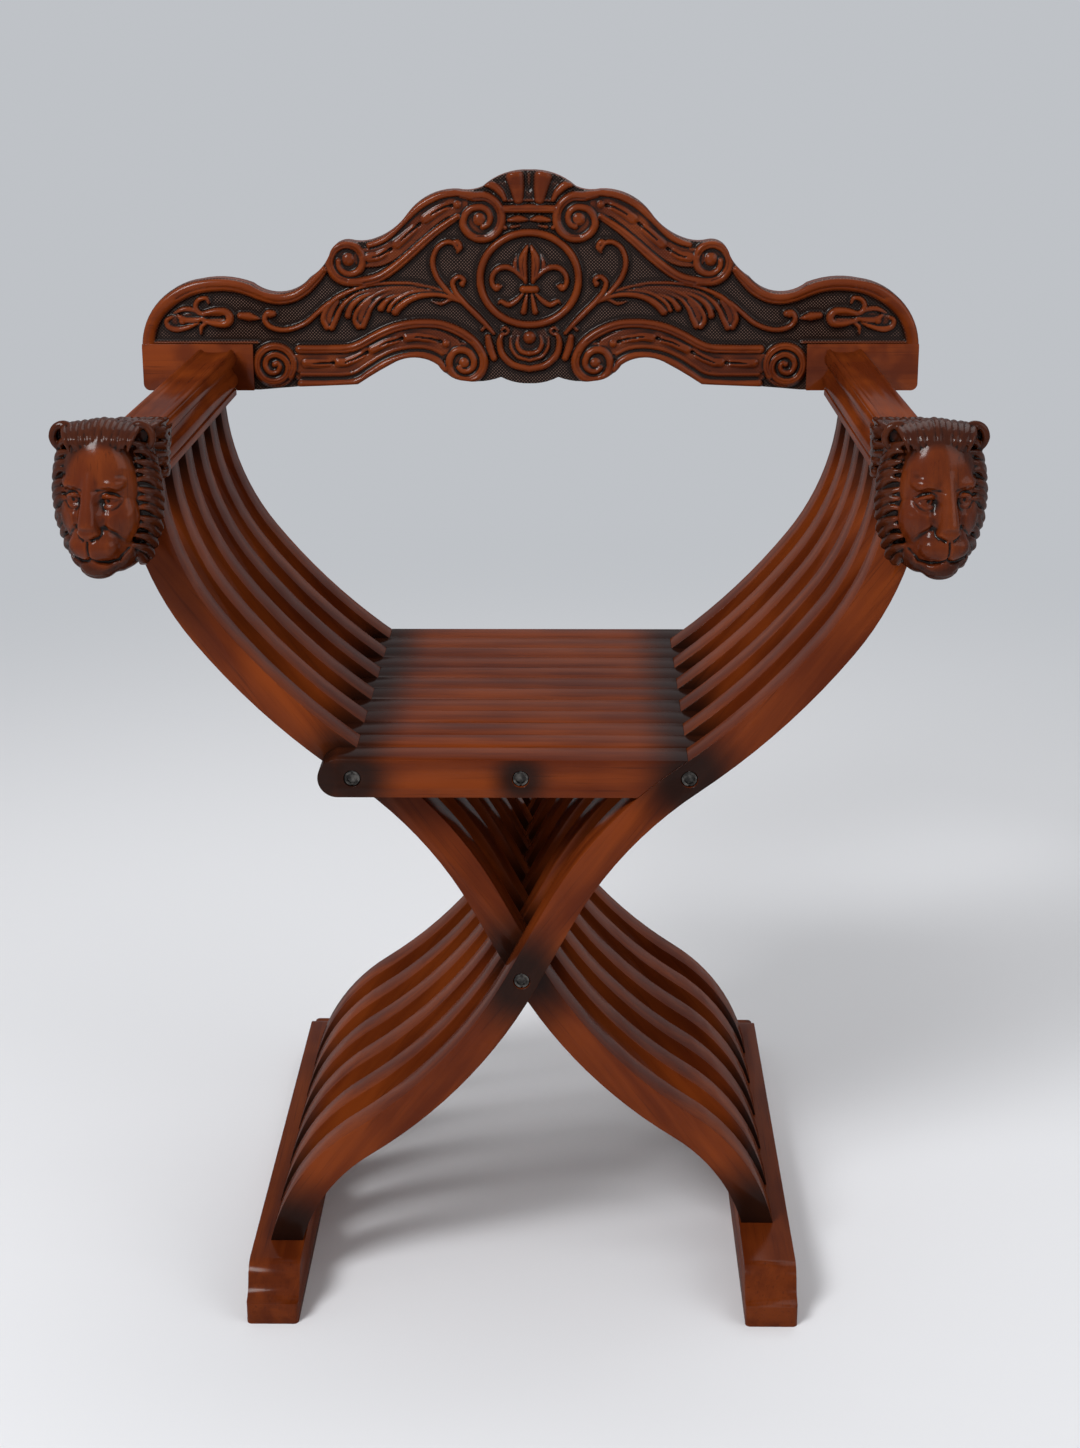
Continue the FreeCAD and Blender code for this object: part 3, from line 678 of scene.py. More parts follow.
def smooth_path(points, widths, closed=False, steps=5):
    """A smooth line through the points, in short steps, and the half width at each of its points."""
    knots = np.array(points, float)
    if closed:
        knots = np.vstack([knots[-1:], knots, knots[:2]])
    else:
        knots = np.vstack([2 * knots[:1] - knots[1:2], knots, 2 * knots[-1:] - knots[-2:-1]])
    line = []
    for before, start, end, after in zip(knots, knots[1:], knots[2:], knots[3:]):
        slope = end - before
        bend = 2 * before - 5 * start + 4 * end - after
        twist = 3 * start - before - 3 * end + after
        for t in np.arange(steps) / steps:
            line.append(0.5 * (2 * start + slope * t + bend * t ** 2 + twist * t ** 3))
    line.append(knots[-2])
    along = np.linspace(0, 1, len(line))
    return np.array(line), np.interp(along, np.linspace(0, 1, len(widths)), widths)


def onto_segment(places, start, end):
    """The point of a segment that is nearest to each place, and how far along the segment it lies."""
    way = end - start
    share = np.clip(((places - start) @ way) / max(way @ way, 1e-12), 0, 1)
    return start + share[:, None] * way, share


def onto_lines(places, segments):
    """Each place moved onto the nearest segment, and how far it was moved."""
    nearest = np.full(len(places), np.inf)
    moved = places.copy()
    for start, end in np.array(segments, float):
        foot, _ = onto_segment(places, start, end)
        away = np.linalg.norm(places - foot, axis=1)
        closer = away < nearest
        nearest[closer] = away[closer]
        moved[closer] = foot[closer]
    return moved, nearest


def beside_path(places, points, widths, closed=False):
    """Which places lie near a smooth path, how far each of them lies from it as a share of the half width
    there, and that half width."""
    line, half_widths = smooth_path(points, widths, closed)
    margin = half_widths.max()
    near = np.all((places > line.min(axis=0) - margin) & (places < line.max(axis=0) + margin), axis=1)
    close_places = places[near]
    nearest = np.full(len(close_places), np.inf)
    width = np.ones(len(close_places))
    for start, end, first, last in zip(line, line[1:], half_widths, half_widths[1:]):
        foot, share = onto_segment(close_places, start, end)
        here = first + share * (last - first)
        away = np.linalg.norm(close_places - foot, axis=1) / here
        closer = away < nearest
        nearest[closer] = away[closer]
        width[closer] = here[closer]
    return near, nearest, width


def raise_ridge(heights, places, points, widths, crown, closed=False, bed=False):
    """Raises the ground to a rounded ridge, or to a flat bed, along the points. Narrow ridges stay lower."""
    bed_slope, roundness, fall, steepest = 1.5, 2.6, 0.75, 1.75
    near, share, width = beside_path(places, points, widths, closed)
    if bed:
        profile = np.clip((1 - share) * width / bed_slope, 0, 1)
    else:
        profile = np.clip(1 - share ** roundness, 0, 1) ** fall
    heights[near] = np.maximum(heights[near], profile * np.minimum(crown, steepest * width))


def cut_groove(heights, places, points, widths, depth):
    """Cuts a groove of this depth into the carving along the points."""
    near, share, _ = beside_path(places, points, widths)
    heights[near] = np.maximum(heights[near] - depth * np.clip(1 - share ** 2, 0, 1), 0)


def carved_heights(places):
    """Height of the carving above the ground, in millimetres, at places on the board's right half."""
    heights = np.zeros(len(places))
    for points, widths, crown in scroll_beds:
        raise_ridge(heights, places, points, widths, crown, bed=True)
    crest_tongues, crest_grooves = reeded_strip(crest_strip, [143, 118.5, 93.5, 66], 5.8)
    arch_tongues, arch_grooves = reeded_strip(arch_strip, [199, 170.5, 141, 110.5, 77], 5.0)
    ridges = broad_ridges + crest_ridges + medallion_ridges + cartouche_ridges + spray_ridges
    ridges += crest_tongues + arch_tongues + [(points, widths, leaf_crown) for points, widths in leaf_ridges]
    for points, widths, crown in ridges:
        raise_ridge(heights, places, points, widths, crown)
    raise_ridge(heights, places, ellipse(*medallion), [medallion_half_width], medallion_crown, closed=True)
    for x, z, half_width, crown in knobs:
        raise_ridge(heights, places, [(x, z), (x + 0.1, z)], [half_width], crown)
    for points, widths, depth in incised_lines + crest_grooves + arch_grooves:
        cut_groove(heights, places, points, widths, depth)
    return heights


def cut_away(shape, point, direction):
    """Cuts a closed shape by a plane, drops what lies beyond it and closes the cut."""
    everything = shape.verts[:] + shape.edges[:] + shape.faces[:]
    cut = bmesh.ops.bisect_plane(shape, geom=everything, plane_co=point, plane_no=direction, clear_outer=True)
    rim = [part for part in cut["geom_cut"] if isinstance(part, bmesh.types.BMEdge)]
    bmesh.ops.edgeloop_fill(shape, edges=rim)
    return rim


def eased_shape(shape, edges, radius):
    """Rounds these edges of a shape."""
    bmesh.ops.bevel(shape, geom=edges, offset=radius, offset_type="OFFSET", affect="EDGES", segments=2,
                    profile=0.5, material=-1, clamp_overlap=True)
    bmesh.ops.recalc_face_normals(shape, faces=shape.faces)


def sharp_edges(shape, least_angle=math.radians(40)):
    """The edges at which two faces meet at a sharper angle."""
    return [edge for edge in shape.edges if edge.is_manifold and edge.calc_face_angle(0) > least_angle]


def crossings(places, segments):
    """How many of the segments lie straight above each place."""
    count = np.zeros(len(places), int)
    for (x1, z1), (x2, z2) in segments:
        between = (places[:, 0] >= min(x1, x2)) & (places[:, 0] < max(x1, x2))
        height = z1 + (places[between, 0] - x1) / (x2 - x1 or 1.0) * (z2 - z1)
        count[between] += height > places[between, 1]
    return count


def carved_skin(segments, box_low, box_high, ground, sizes):
    """The carved front of the board inside its outline: a fine grid whose points stand as high as the
    carving, with a rim that runs back into the board. It ends a little way under the corner blocks."""
    step, block_lap, rim_depth = sizes.carving_step, 3 * mm, 0.9 * mm
    width, height = box_high.x - box_low.x, box_high.z - box_low.z
    centre = Matrix.Translation((0.0, ground, (box_low.z + box_high.z) / 2))
    seat = centre @ Matrix.Rotation(math.pi / 2, 4, "X")
    grid = bmesh.new()
    bmesh.ops.create_grid(grid, x_segments=2 * round(width / step / 2), y_segments=round(height / step),
                          size=0.5, matrix=seat @ Matrix.Diagonal((width, height, 1.0, 1.0)))
    centres = np.array([face.calc_center_median() for face in grid.faces])[:, [0, 2]]
    outside = crossings(centres, segments) % 2 == 0
    under_block = (np.abs(centres[:, 0]) > block_side + block_lap) & (centres[:, 1] < block_top - block_lap)
    dropped = [face for face, drop in zip(grid.faces[:], outside | under_block) if drop]
    bmesh.ops.delete(grid, geom=dropped, context="FACES")
    rim = [edge for edge in grid.edges if edge.is_boundary]
    rim_points = list({point for edge in rim for point in edge.verts})
    moved, away = onto_lines(np.array([(point.co.x, point.co.z) for point in rim_points]), segments)
    for point, place, distance in zip(rim_points, moved, away):
        if distance < 1.6 * step:
            point.co.x, point.co.z = place
    walls = bmesh.ops.extrude_edge_only(grid, edges=rim)["geom"]
    rim_back = [part for part in walls if isinstance(part, bmesh.types.BMVert)]
    bmesh.ops.translate(grid, vec=(0.0, rim_depth, 0.0), verts=rim_back)
    bmesh.ops.edgeloop_fill(grid, edges=[part for part in walls if isinstance(part, bmesh.types.BMEdge)])
    bmesh.ops.recalc_face_normals(grid, faces=grid.faces)
    mesh = shape_mesh(grid, "skin")
    raise_carving(mesh, segments, ground, sizes.front_edge / mm)
    return mesh


def raise_carving(mesh, segments, ground, edge_radius):
    """Moves the grid's front points forward to the carving's height, lower within the radius of the rim."""
    points = points_of(mesh)
    front = points[:, 1] < ground + 0.1 * mm
    flat = points[front][:, [0, 2]]
    heights = carved_heights(np.column_stack([np.abs(flat[:, 0]), flat[:, 1]]) / mm)
    eased = np.clip(edge_radius - onto_lines(flat, segments)[1] / mm, 0, None)
    drop = edge_radius - np.sqrt(np.clip(edge_radius ** 2 - eased ** 2, 0, None))
    points[front, 1] = ground - np.maximum(heights - drop, 0) * mm
    mesh.vertices.foreach_set("co", points.ravel())
    mesh.update()


def join_meshes(name, meshes):
    """One mesh of several closed shapes, with smooth faces between sharp edges."""
    joined = bmesh.new()
    for part in meshes:
        joined.from_mesh(part)
        bpy.data.meshes.remove(part)
    whole = shape_mesh(joined, name)
    whole.shade_smooth()
    whole.set_sharp_from_angle(angle=math.radians(50))
    return whole


def carved_board(sizes):
    """The back board: a slab behind the ground, the carved skin on it, and the plain corner blocks."""
    low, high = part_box("back_board")
    ground = low.y + sizes.ground_depth
    slab_front, block_edge = ground + 0.3 * mm, 0.8 * mm
    slab = merged_shape("back_board")
    rim = cut_away(slab, (0, slab_front, 0), (0, -1, 0))
    segments = [tuple((point.co.x, point.co.z) for point in edge.verts) for edge in rim]
    back_edges = [edge for edge in sharp_edges(slab) if all(point.co.y > high.y - mm for point in edge.verts)]
    eased_shape(slab, back_edges, sizes.rim_edge)
    skin = carved_skin(segments, low, high, ground, sizes)
    skin_count = len(skin.vertices)
    parts = [skin, shape_mesh(slab, "slab")]
    for side in sides.values():
        block = merged_shape("back_board")
        cut_away(block, (0, slab_front + mm, 0), (0, 1, 0))
        cut_away(block, (side * block_side, 0, 0), (-side, 0, 0))
        cut_away(block, (0, 0, block_top), (0, 0, 1))
        eased_shape(block, sharp_edges(block), block_edge)
        parts.append(shape_mesh(block, "block"))
    mesh = join_meshes("carved_back_board", parts)
    mark_hollows(mesh, rounds=9, carved_count=skin_count)
    return mesh


# Heads: places in millimetres from the middle of the head's back. X runs away from the seat, Y backwards and
# Z up. The masses are middles and radii, and the paired ones stand on both sides of the face.

skull_masses = [((0, -15, 5), (36, 18, 46)), ((0, -11, -20), (31, 14, 35)), ((0, -9, 26), (35, 12, 22)),
                ((0, -6, 2), (36, 6.5, 54))]
face_masses = [
    ((0, -22, 12), (28, 20, 41)),
    ((0, -28, 28), (19, 11, 15)),
    ((0, -28, -10), (25, 19, 35)),
    ((0, -37, -43), (14, 11, 9.5)),
    ((0, -43, -27), (15, 10, 11)),
    ((0, -48.5, -16), (8.6, 5.5, 5.0)),
]
paired_face_masses = [
    ((16.5, -27, -8), (12.5, 13, 19)),
    ((11.5, -33.5, 16.5), (13, 8, 6)),
    ((8.2, -40.5, -27), (10.6, 10.8, 9.6)),
    ((12, -28, -36), (12, 14, 13)),
]
nose_path = [(0, -31, 34), (0, -36.5, 22), (0, -41.5, 9), (0, -46, -4), (0, -48.5, -13)]
nose_widths = [4.0, 6.0, 6.2, 6.8, 7.6]
eye = ((13, -33.4, 5), 6.3)
lids = [
    [(6.4, -36.4, 3.6), (9.3, -38.8, 7.6), (13, -39.9, 9.0), (17, -38.4, 7.9), (20.6, -34.0, 5.4)],
    [(6.4, -36.4, 3.6), (9.8, -38.8, 1.5), (13.5, -39.5, 0.6), (17.3, -37.9, 2.0), (20.6, -34.0, 5.4)],
]
ear_rim = [(25.5, -16, 33), (33, -19, 38.5), (34.5, -20, 46.5), (29, -20.5, 52.5), (21.5, -20, 51),
           (18, -20, 45)]
ear_filling = ((26.5, -14, 43.5), (8, 4.5, 9))
lid_widths, ear_rim_widths = [0.8, 1.5, 0.8], [2.6, 3.0, 2.4]


def in_metres(points, hand=1, turned=Matrix.Identity(4)):
    """The points on one hand's side, turned with the face where that is asked."""
    return [turned @ (Vector((hand * x, y, z)) * mm) for x, y, z in points]


def add_mass(shape, centre, radii, turned=Matrix.Identity(4)):
    """A rounded mass of wood."""
    seat = Matrix.Translation(Vector(centre) * mm) @ Matrix.Diagonal((*(r * mm for r in radii), 1.0))
    bmesh.ops.create_icosphere(shape, subdivisions=4, radius=1.0, matrix=turned @ seat)


def fused(shape, step, rounds):
    """The masses of a shape as one skin with points a step apart, softened by so many rounds."""
    lump = bpy.data.objects.new("lump", shape_mesh(shape, "lump"))
    bpy.context.scene.collection.objects.link(lump)
    fuse = lump.modifiers.new("Fuse", "REMESH")
    fuse.mode = "VOXEL"
    fuse.voxel_size = step
    fuse.use_smooth_shade = True
    soften = lump.modifiers.new("Soften", "SMOOTH")
    soften.factor = 0.5
    soften.iterations = rounds
    mesh = bpy.data.meshes.new_from_object(lump.evaluated_get(bpy.context.evaluated_depsgraph_get()))
    bpy.data.objects.remove(lump)
    return mesh


def fullness(z):
    """Share of the head's full half width at a height."""
    middle_height, half_height = 4, 61
    return math.sqrt(max(0.0, 1 - ((z - middle_height) / half_height) ** 2))


def crown_locks(count=13, spacing=4.5):
    """Locks that are combed back over the crown."""
    for i in range(count):
        x = -27 + spacing * i
        wave = 0.7 * math.sin(i * 2.1)
        yield ([(x * 0.74, -35.5, 36 + 2 * (i % 2)), (x * 0.84 + wave, -35, 44),
                (x * 0.95, -24.5, 52.6 - abs(x) * 0.10), (x + wave, -10, 54 - abs(x) * 0.14),
                (x, 4, 50 - abs(x) * 0.16)], [0.9, 2.1, 2.5, 2.6, 1.8])


def side_locks(count=13, spacing=6.6):
    """Locks that fall from the face round both sides of the head."""
    for side in (-1, 1):
        for i in range(count):
            z = 36 - spacing * i
            full = side * fullness(z)
            wave = 1.5 * math.sin(i * 2.3 + side)
            yield ([(25 * full, -29, z + 6), (31 * full, -24.5, z + 4.5 + wave), (35.5 * full, -15, z - 1),
                    (36.2 * full, -8, z - 5.5 + wave), (30 * full, -5, z - 6)], [1.1, 2.7, 3.6, 3.2, 2.2])


def arm_top_locks(count=9, spacing=4.1):
    """Long locks that lie on top of the arm behind the head."""
    for i in range(count):
        x = -35 + spacing * i
        end = 56 - 3.2 * abs(i - 3)
        wave = 1.1 * math.sin(i * 1.3)
        yield ([(0.8 * x, -13, 46), (0.95 * x + wave, -3, 48.2), (x + wave, 8, 48.4), (x - wave, 22, 47.0),
                (x + wave, 36, 46.4), (x - wave, end, 44.8)], [2.4, 3.0, 3.0, 2.8, 2.4, 0.8])


def arm_side_locks(count=9, spacing=4.1):
    """Long locks that hang along the arm's side towards the seat."""
    for i in range(count):
        z = 46 - spacing * i
        start = -33 * fullness(z)
        end = 62 - 3.6 * i
        wave = 1.9 * math.sin(i * 2.4)
        bulge = 0.8 * math.cos(i * 2.4)
        fall = min(7.0, z - 11.0)
        yield ([(start, -16, z + 2), ((start - 37) / 2, -6, z + wave),
                (-37.2 - bulge, 6, z - 0.3 * fall + wave), (-36.8 + bulge, 20, z - 0.6 * fall - wave),
                (-36.2, 0.6 * end, z - 0.9 * fall + wave), (-34.6, end, z - fall - 0.5 * wave)],
               [2.0, 2.9, 3.2, 2.9, 2.4, 0.8])


# Chisel strokes on the face, seen from its front: path, half width and depth. Sockets and folds are cut
# before the eyes and the mane are set, and the rest after.
early_strokes = [
    ([(12.6, 5), (14.2, 5)], 9.5, 5.2),
    ([(9.4, -14), (10.6, -4), (8.6, 4)], 3.6, 1.6),
    ([(11, -13), (17, -18), (21.5, -26), (22, -35)], 2.6, 1.8),
    ([(24, -2), (25, 10), (22, 22)], 4.5, 1.2),
]
late_strokes = [
    ([(13.2, 5.2), (13.3, 5.2)], 2.0, 1.1),
    ([(4.5, 12.8), (9, 13.2), (15, 14.6), (21, 11)], 1.7, 0.7),
    ([(7.4, -20), (8.8, -17), (8.4, -13)], 1.4, 0.9),
    ([(3.4, -20.4), (5.2, -19.4), (6.8, -18)], 1.9, 2.0),
    ([(8, -45.5), (13, -43.5), (17, -40)], 1.6, 0.8),
]
mouth = [(-21, -31), (-17, -36.6), (-10, -38.6), (-4, -37), (0, -34.5), (4, -37), (10, -38.6), (17, -36.6),
         (21, -31)]
middle_strokes = [
    (mouth, 1.9, 2.4),
    ([(0, -22), (0, -34)], 1.5, 1.5),
    ([(-9, -47.5), (0, -49), (9, -47.5)], 1.6, 0.7),
]


def lion_head(name, node, side, sizes, material):
    """A carved lion's head, worked as one lump of masses and locks and then chiselled."""
    neck = Vector((0, -12, 0)) * mm
    turned = (Matrix.Translation(neck) @ Matrix.Rotation(sizes.turn, 4, "Z")
              @ Matrix.Rotation(sizes.nod, 4, "X") @ Matrix.Translation(-neck))
    whole = bmesh.new()
    whole.from_mesh(bare_face(sizes, turned))
    strokes = new_strokes()
    (eye_x, eye_y, eye_z), eye_radius = eye
    (ear_x, ear_y, ear_z), ear_radii = ear_filling
    for hand in (-1, 1):
        add_mass(whole, (hand * eye_x, eye_y, eye_z), [eye_radius] * 3, turned)
        add_mass(whole, (hand * ear_x, ear_y, ear_z), ear_radii)
        for lid in lids:
            add_stroke(strokes, in_metres(lid, hand, turned), lid_widths)
        add_stroke(strokes, in_metres(ear_rim, hand), ear_rim_widths)
    for points, widths in (*crown_locks(), *side_locks(), *arm_top_locks(), *arm_side_locks()):
        add_stroke(strokes, in_metres(points), widths)
    whole.from_mesh(strokes_mesh(strokes))
    mesh = fused(whole, sizes.grain, rounds=2)
    chisel(mesh, turned, late_strokes, middle_strokes)
    mark_hollows(mesh)
    mark_mane(mesh)
    low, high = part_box(node)
    seat = Vector(((low.x + high.x) / 2, high.y, (low.z + high.z) / 2))
    mesh.transform(Matrix.Translation(seat) @ Matrix.Diagonal((side, 1, 1, 1)))
    if side < 0:
        mesh.flip_normals()
    mesh.name = name
    finished_piece(name, mesh, node, material)


def bare_face(sizes, turned):
    """The skull and the face without eyes and mane, with its sockets and folds cut."""
    face = bmesh.new()
    for centre, radii in skull_masses:
        add_mass(face, centre, radii)
    for centre, radii in face_masses:
        add_mass(face, centre, radii, turned)
    for (x, y, z), radii in paired_face_masses:
        for hand in (-1, 1):
            add_mass(face, (hand * x, y, z), radii, turned)
    nose = new_strokes()
    add_stroke(nose, in_metres(nose_path, 1, turned), nose_widths)
    face.from_mesh(strokes_mesh(nose))
    mesh = fused(face, 1.4 * sizes.grain, rounds=11)
    chisel(mesh, turned, early_strokes)
    return mesh


def chisel(mesh, turned, paired_strokes, single_strokes=()):
    """Presses the front of the face in along the chisel strokes, the paired ones on both sides. The front
    ends softly, in a band before the middle of the head."""
    front_end, front_band = 20, 6
    places = points_of(mesh)
    back_turn = np.array(turned.inverted())
    local = (places @ back_turn[:3, :3].T + back_turn[:3, 3]) / mm
    strokes = list(single_strokes)
    for path, width, depth in paired_strokes:
        strokes += [([(hand * x, z) for x, z in path], width, depth) for hand in (-1, 1)]
    front = np.clip((-local[:, 1] - front_end) / front_band, 0, 1)
    push = np.array(turned.to_3x3() @ Vector((0, 1, 0)))
    for path, width, depth in strokes:
        away = onto_lines(local[:, [0, 2]], list(zip(path, path[1:])))[1]
        near = np.clip(1 - (away / width) ** 2, 0, 1) ** 1.5
        places += (near * front * depth * mm)[:, None] * push
    mesh.vertices.foreach_set("co", places.ravel())
    mesh.update()


def store(mesh, name, values):
    """Stores a value at each point, for the material to read."""
    mesh.attributes.new(name, "FLOAT", "POINT").data.foreach_set("value", values.astype(np.float32))


def mark_mane(mesh):
    """Stores where the mane lies, for its darker stain and painted shade: beside the face, above the forehead
    and along the arm. The head's plain back isn't part of it."""
    face_half_width, face_half_height, face_middle = 27, 40, -2
    back_start, back_half_width, back_top = -8, 31, 42
    x, y, z = (points_of(mesh) / mm).T
    beside_face = np.hypot(x / face_half_width, (z - face_middle) / face_half_height) - 1
    behind_face = (y + 27) / 8
    plain_back = (y > back_start) & (np.abs(x) < back_half_width) & (z < back_top)
    mane = np.where(plain_back, 0.0, np.clip(np.maximum(beside_face / 0.12, behind_face), 0, 1))
    store(mesh, "mane", mane)


def mark_hollows(mesh, rounds=14, carved_count=None):
    """Stores at each point how deep it lies below the smoothed surface, for the stain and painted shade in
    hollows and the wear and painted highlight on ridges. Where only the first points are carved, the others
    stay at nothing."""
    count = len(mesh.vertices)
    places = points_of(mesh)
    normals = np.empty(count * 3)
    mesh.vertices.foreach_get("normal", normals)
    ends = np.empty(len(mesh.edges) * 2, int)
    mesh.edges.foreach_get("vertices", ends)
    first, second = ends.reshape(-1, 2).T
    neighbours = np.bincount(first, minlength=count) + np.bincount(second, minlength=count)
    smooth = places.copy()
    for _ in range(rounds):
        total = [np.bincount(first, along[second], count) + np.bincount(second, along[first], count)
                 for along in smooth.T]
        smooth = np.stack(total, axis=1) / np.maximum(neighbours, 1)[:, None]
    depth = ((smooth - places) * normals.reshape(-1, 3)).sum(axis=1)
    depth[carved_count or count:] = 0.0
    store(mesh, "hollow", depth)


# Operators

# Where the slats meet the feet and the arms: distance from the chair's middle, and height
foot_joint, arm_joint = (0.190, 0.045), (0.277, 0.650)


def dress_slats(side_name, kind, wood, sizes):
    """Dresses one side's slats of one kind."""
    for number in range(1, slats_per_frame + 1):
        node = f"{side_name}_{kind}_slat_{number}"
        eased_piece(node, wood, sizes.slat_edge, sizes.segments)


class SAVONAROLA_OT_leg_slats(bpy.types.Operator):
    """Dress the twelve curved leg slats"""
    bl_idname = "savonarola.leg_slats"
    bl_label = "Leg slats"

    def execute(self, context):
        scene = context.scene
        crossing, seat_rod = middle("crossing_rod"), middle("right_seat_rod")
        low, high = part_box("left_leg_slat_1")
        lean = math.atan2(high.z - low.z, high.x - low.x)
        for name, side in sides.items():
            # Each slat stands on its own side's foot and carries the other side's seat rod and arm
            spots = [(crossing.x, crossing.z, 0.060, 0.5), (-side * seat_rod.x, seat_rod.z, 0.055, 0.35),
                     (side * foot_joint[0], foot_joint[1], 0.070, 0.5),
                     (-side * arm_joint[0], arm_joint[1], 0.060, 0.5)]
            wood = walnut(f"{name}_leg_walnut", scene.savonarola_finish, (-side * lean, 0.0), spots)
            dress_slats(name, "leg", wood, scene.savonarola_slats)
        return {"FINISHED"}


class SAVONAROLA_OT_seat_slats(bpy.types.Operator):
    """Dress the twelve straight seat slats"""
    bl_idname = "savonarola.seat_slats"
    bl_label = "Seat slats"

    def execute(self, context):
        scene = context.scene
        seat_rod = middle("right_seat_rod")
        # The middle rod, and at both sides the seat rod and the slats' rounded ends beyond it
        spots = [(0.0, seat_rod.z, 0.030, 0.0)]
        spots += [(side * share * seat_rod.x, seat_rod.z, 0.044, 1.0)
                  for side in (-1, 1) for share in (1.0, 1.2)]
        wood = walnut("seat_walnut", scene.savonarola_finish, grain_across, spots)
        for name in sides:
            dress_slats(name, "seat", wood, scene.savonarola_slats)
        return {"FINISHED"}


class SAVONAROLA_OT_feet(bpy.types.Operator):
    """Dress the two runner feet"""
    bl_idname = "savonarola.feet"
    bl_label = "Feet"

    def execute(self, context):
        scene = context.scene
        sizes = scene.savonarola_slats
        for name in sides:
            wood = walnut(f"{name}_foot_walnut", scene.savonarola_finish, grain_front_to_back,
                          tone=scene.savonarola_finish.foot_tone)
            eased_piece(f"{name}_foot", wood, sizes.foot_edge, sizes.segments)
        return {"FINISHED"}


class SAVONAROLA_OT_arms(bpy.types.Operator):
    """Dress the two moulded arms"""
    bl_idname = "savonarola.arms"
    bl_label = "Arms"

    def execute(self, context):
        scene = context.scene
        sizes = scene.savonarola_slats
        wood = walnut("arm_walnut", scene.savonarola_finish, grain_front_to_back)
        for name in sides:
            eased_piece(f"{name}_arm", wood, sizes.arm_edge, sizes.segments)
        return {"FINISHED"}


class SAVONAROLA_OT_heads(bpy.types.Operator):
    """Carve the two lion heads"""
    bl_idname = "savonarola.heads"
    bl_label = "Lion heads"

    def execute(self, context):
        scene = context.scene
        finish = scene.savonarola_finish
        wood = walnut("head_walnut", finish, grain_upright, carved=True, tone=finish.head_tone)
        for name, side in sides.items():
            lion_head(f"{name}_lion_head", f"{name}_arm_head", side, scene.savonarola_heads, wood)
        return {"FINISHED"}


class SAVONAROLA_OT_back_board(bpy.types.Operator):
    """Carve the back board"""
    bl_idname = "savonarola.back_board"
    bl_label = "Back board"

    def execute(self, context):
        scene = context.scene
        sizes = scene.savonarola_board
        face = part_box("back_board")[0].y
        wood = walnut("board_walnut", scene.savonarola_finish, carved=True,
                      sunk_ground=(face, face + sizes.ground_depth))
        finished_piece("carved_back_board", carved_board(sizes), "back_board", wood)
        return {"FINISHED"}


class SAVONAROLA_OT_rods(bpy.types.Operator):
    """Finish the rods and nuts"""
    bl_idname = "savonarola.rods"
    bl_label = "Rods and nuts"

    def execute(self, context):
        steel = dark_steel("dark_steel", context.scene.savonarola_steel)
        for node, piece in frame["nodes"].items():
            if "rod" in node:
                piece.data.materials.clear()
                piece.data.materials.append(steel)
        return {"FINISHED"}


class SAVONAROLA_OT_stage(bpy.types.Operator):
    """Lay the floor, hang the lamps and set the camera"""
    bl_idname = "savonarola.stage"
    bl_label = "Floor, lamps and camera"

    def execute(self, context):
        scene = context.scene
        look = scene.savonarola_stage
        lay_floor(look)
        light_scene(scene, look)
        set_camera(scene)
        scene.view_settings.view_transform = "Standard"
        return {"FINISHED"}


def seen_or_mirrored(make):
    """One for the rays that show the background: the camera's own, and those sent on by gloss or glass."""
    rays = make("ShaderNodeLightPath")
    shown = rays.outputs["Is Camera Ray"]
    for kind in ("Is Glossy Ray", "Is Transmission Ray"):
        shown = calculate(make, "MAXIMUM", shown, rays.outputs[kind])
    return shown


def lay_floor(look):
    """A plain pale floor that fades into the backdrop's colour, as the camera sees it."""
    fade_start, fade_end, floor_radius = 0.75, 2.6, 60.0
    shape = bmesh.new()
    bmesh.ops.create_circle(shape, cap_ends=True, segments=96, radius=floor_radius)
    mesh = shape_mesh(shape, "floor")
    floor = bpy.data.objects.new("floor", mesh)
    bpy.context.scene.collection.objects.link(floor)
    material, make = empty_material("pale_floor")
    near = make("ShaderNodeBsdfPrincipled", {"Base Color": colour(look.floor_colour), "Roughness": 0.85})
    far = make("ShaderNodeEmission", {"Color": colour(look.backdrop_colour)})
    place = make("ShaderNodeTexCoord").outputs["Object"]
    distance = make("ShaderNodeVectorMath", {0: place}, operation="LENGTH").outputs["Value"]
    share = times(make, ramp(make, distance, fade_start, fade_end), seen_or_mirrored(make))
    shader = make("ShaderNodeMixShader", {0: share, 1: near.outputs["BSDF"], 2: far.outputs["Emission"]})
    make("ShaderNodeOutputMaterial", {"Surface": shader.outputs["Shader"]})
    mesh.materials.append(material)


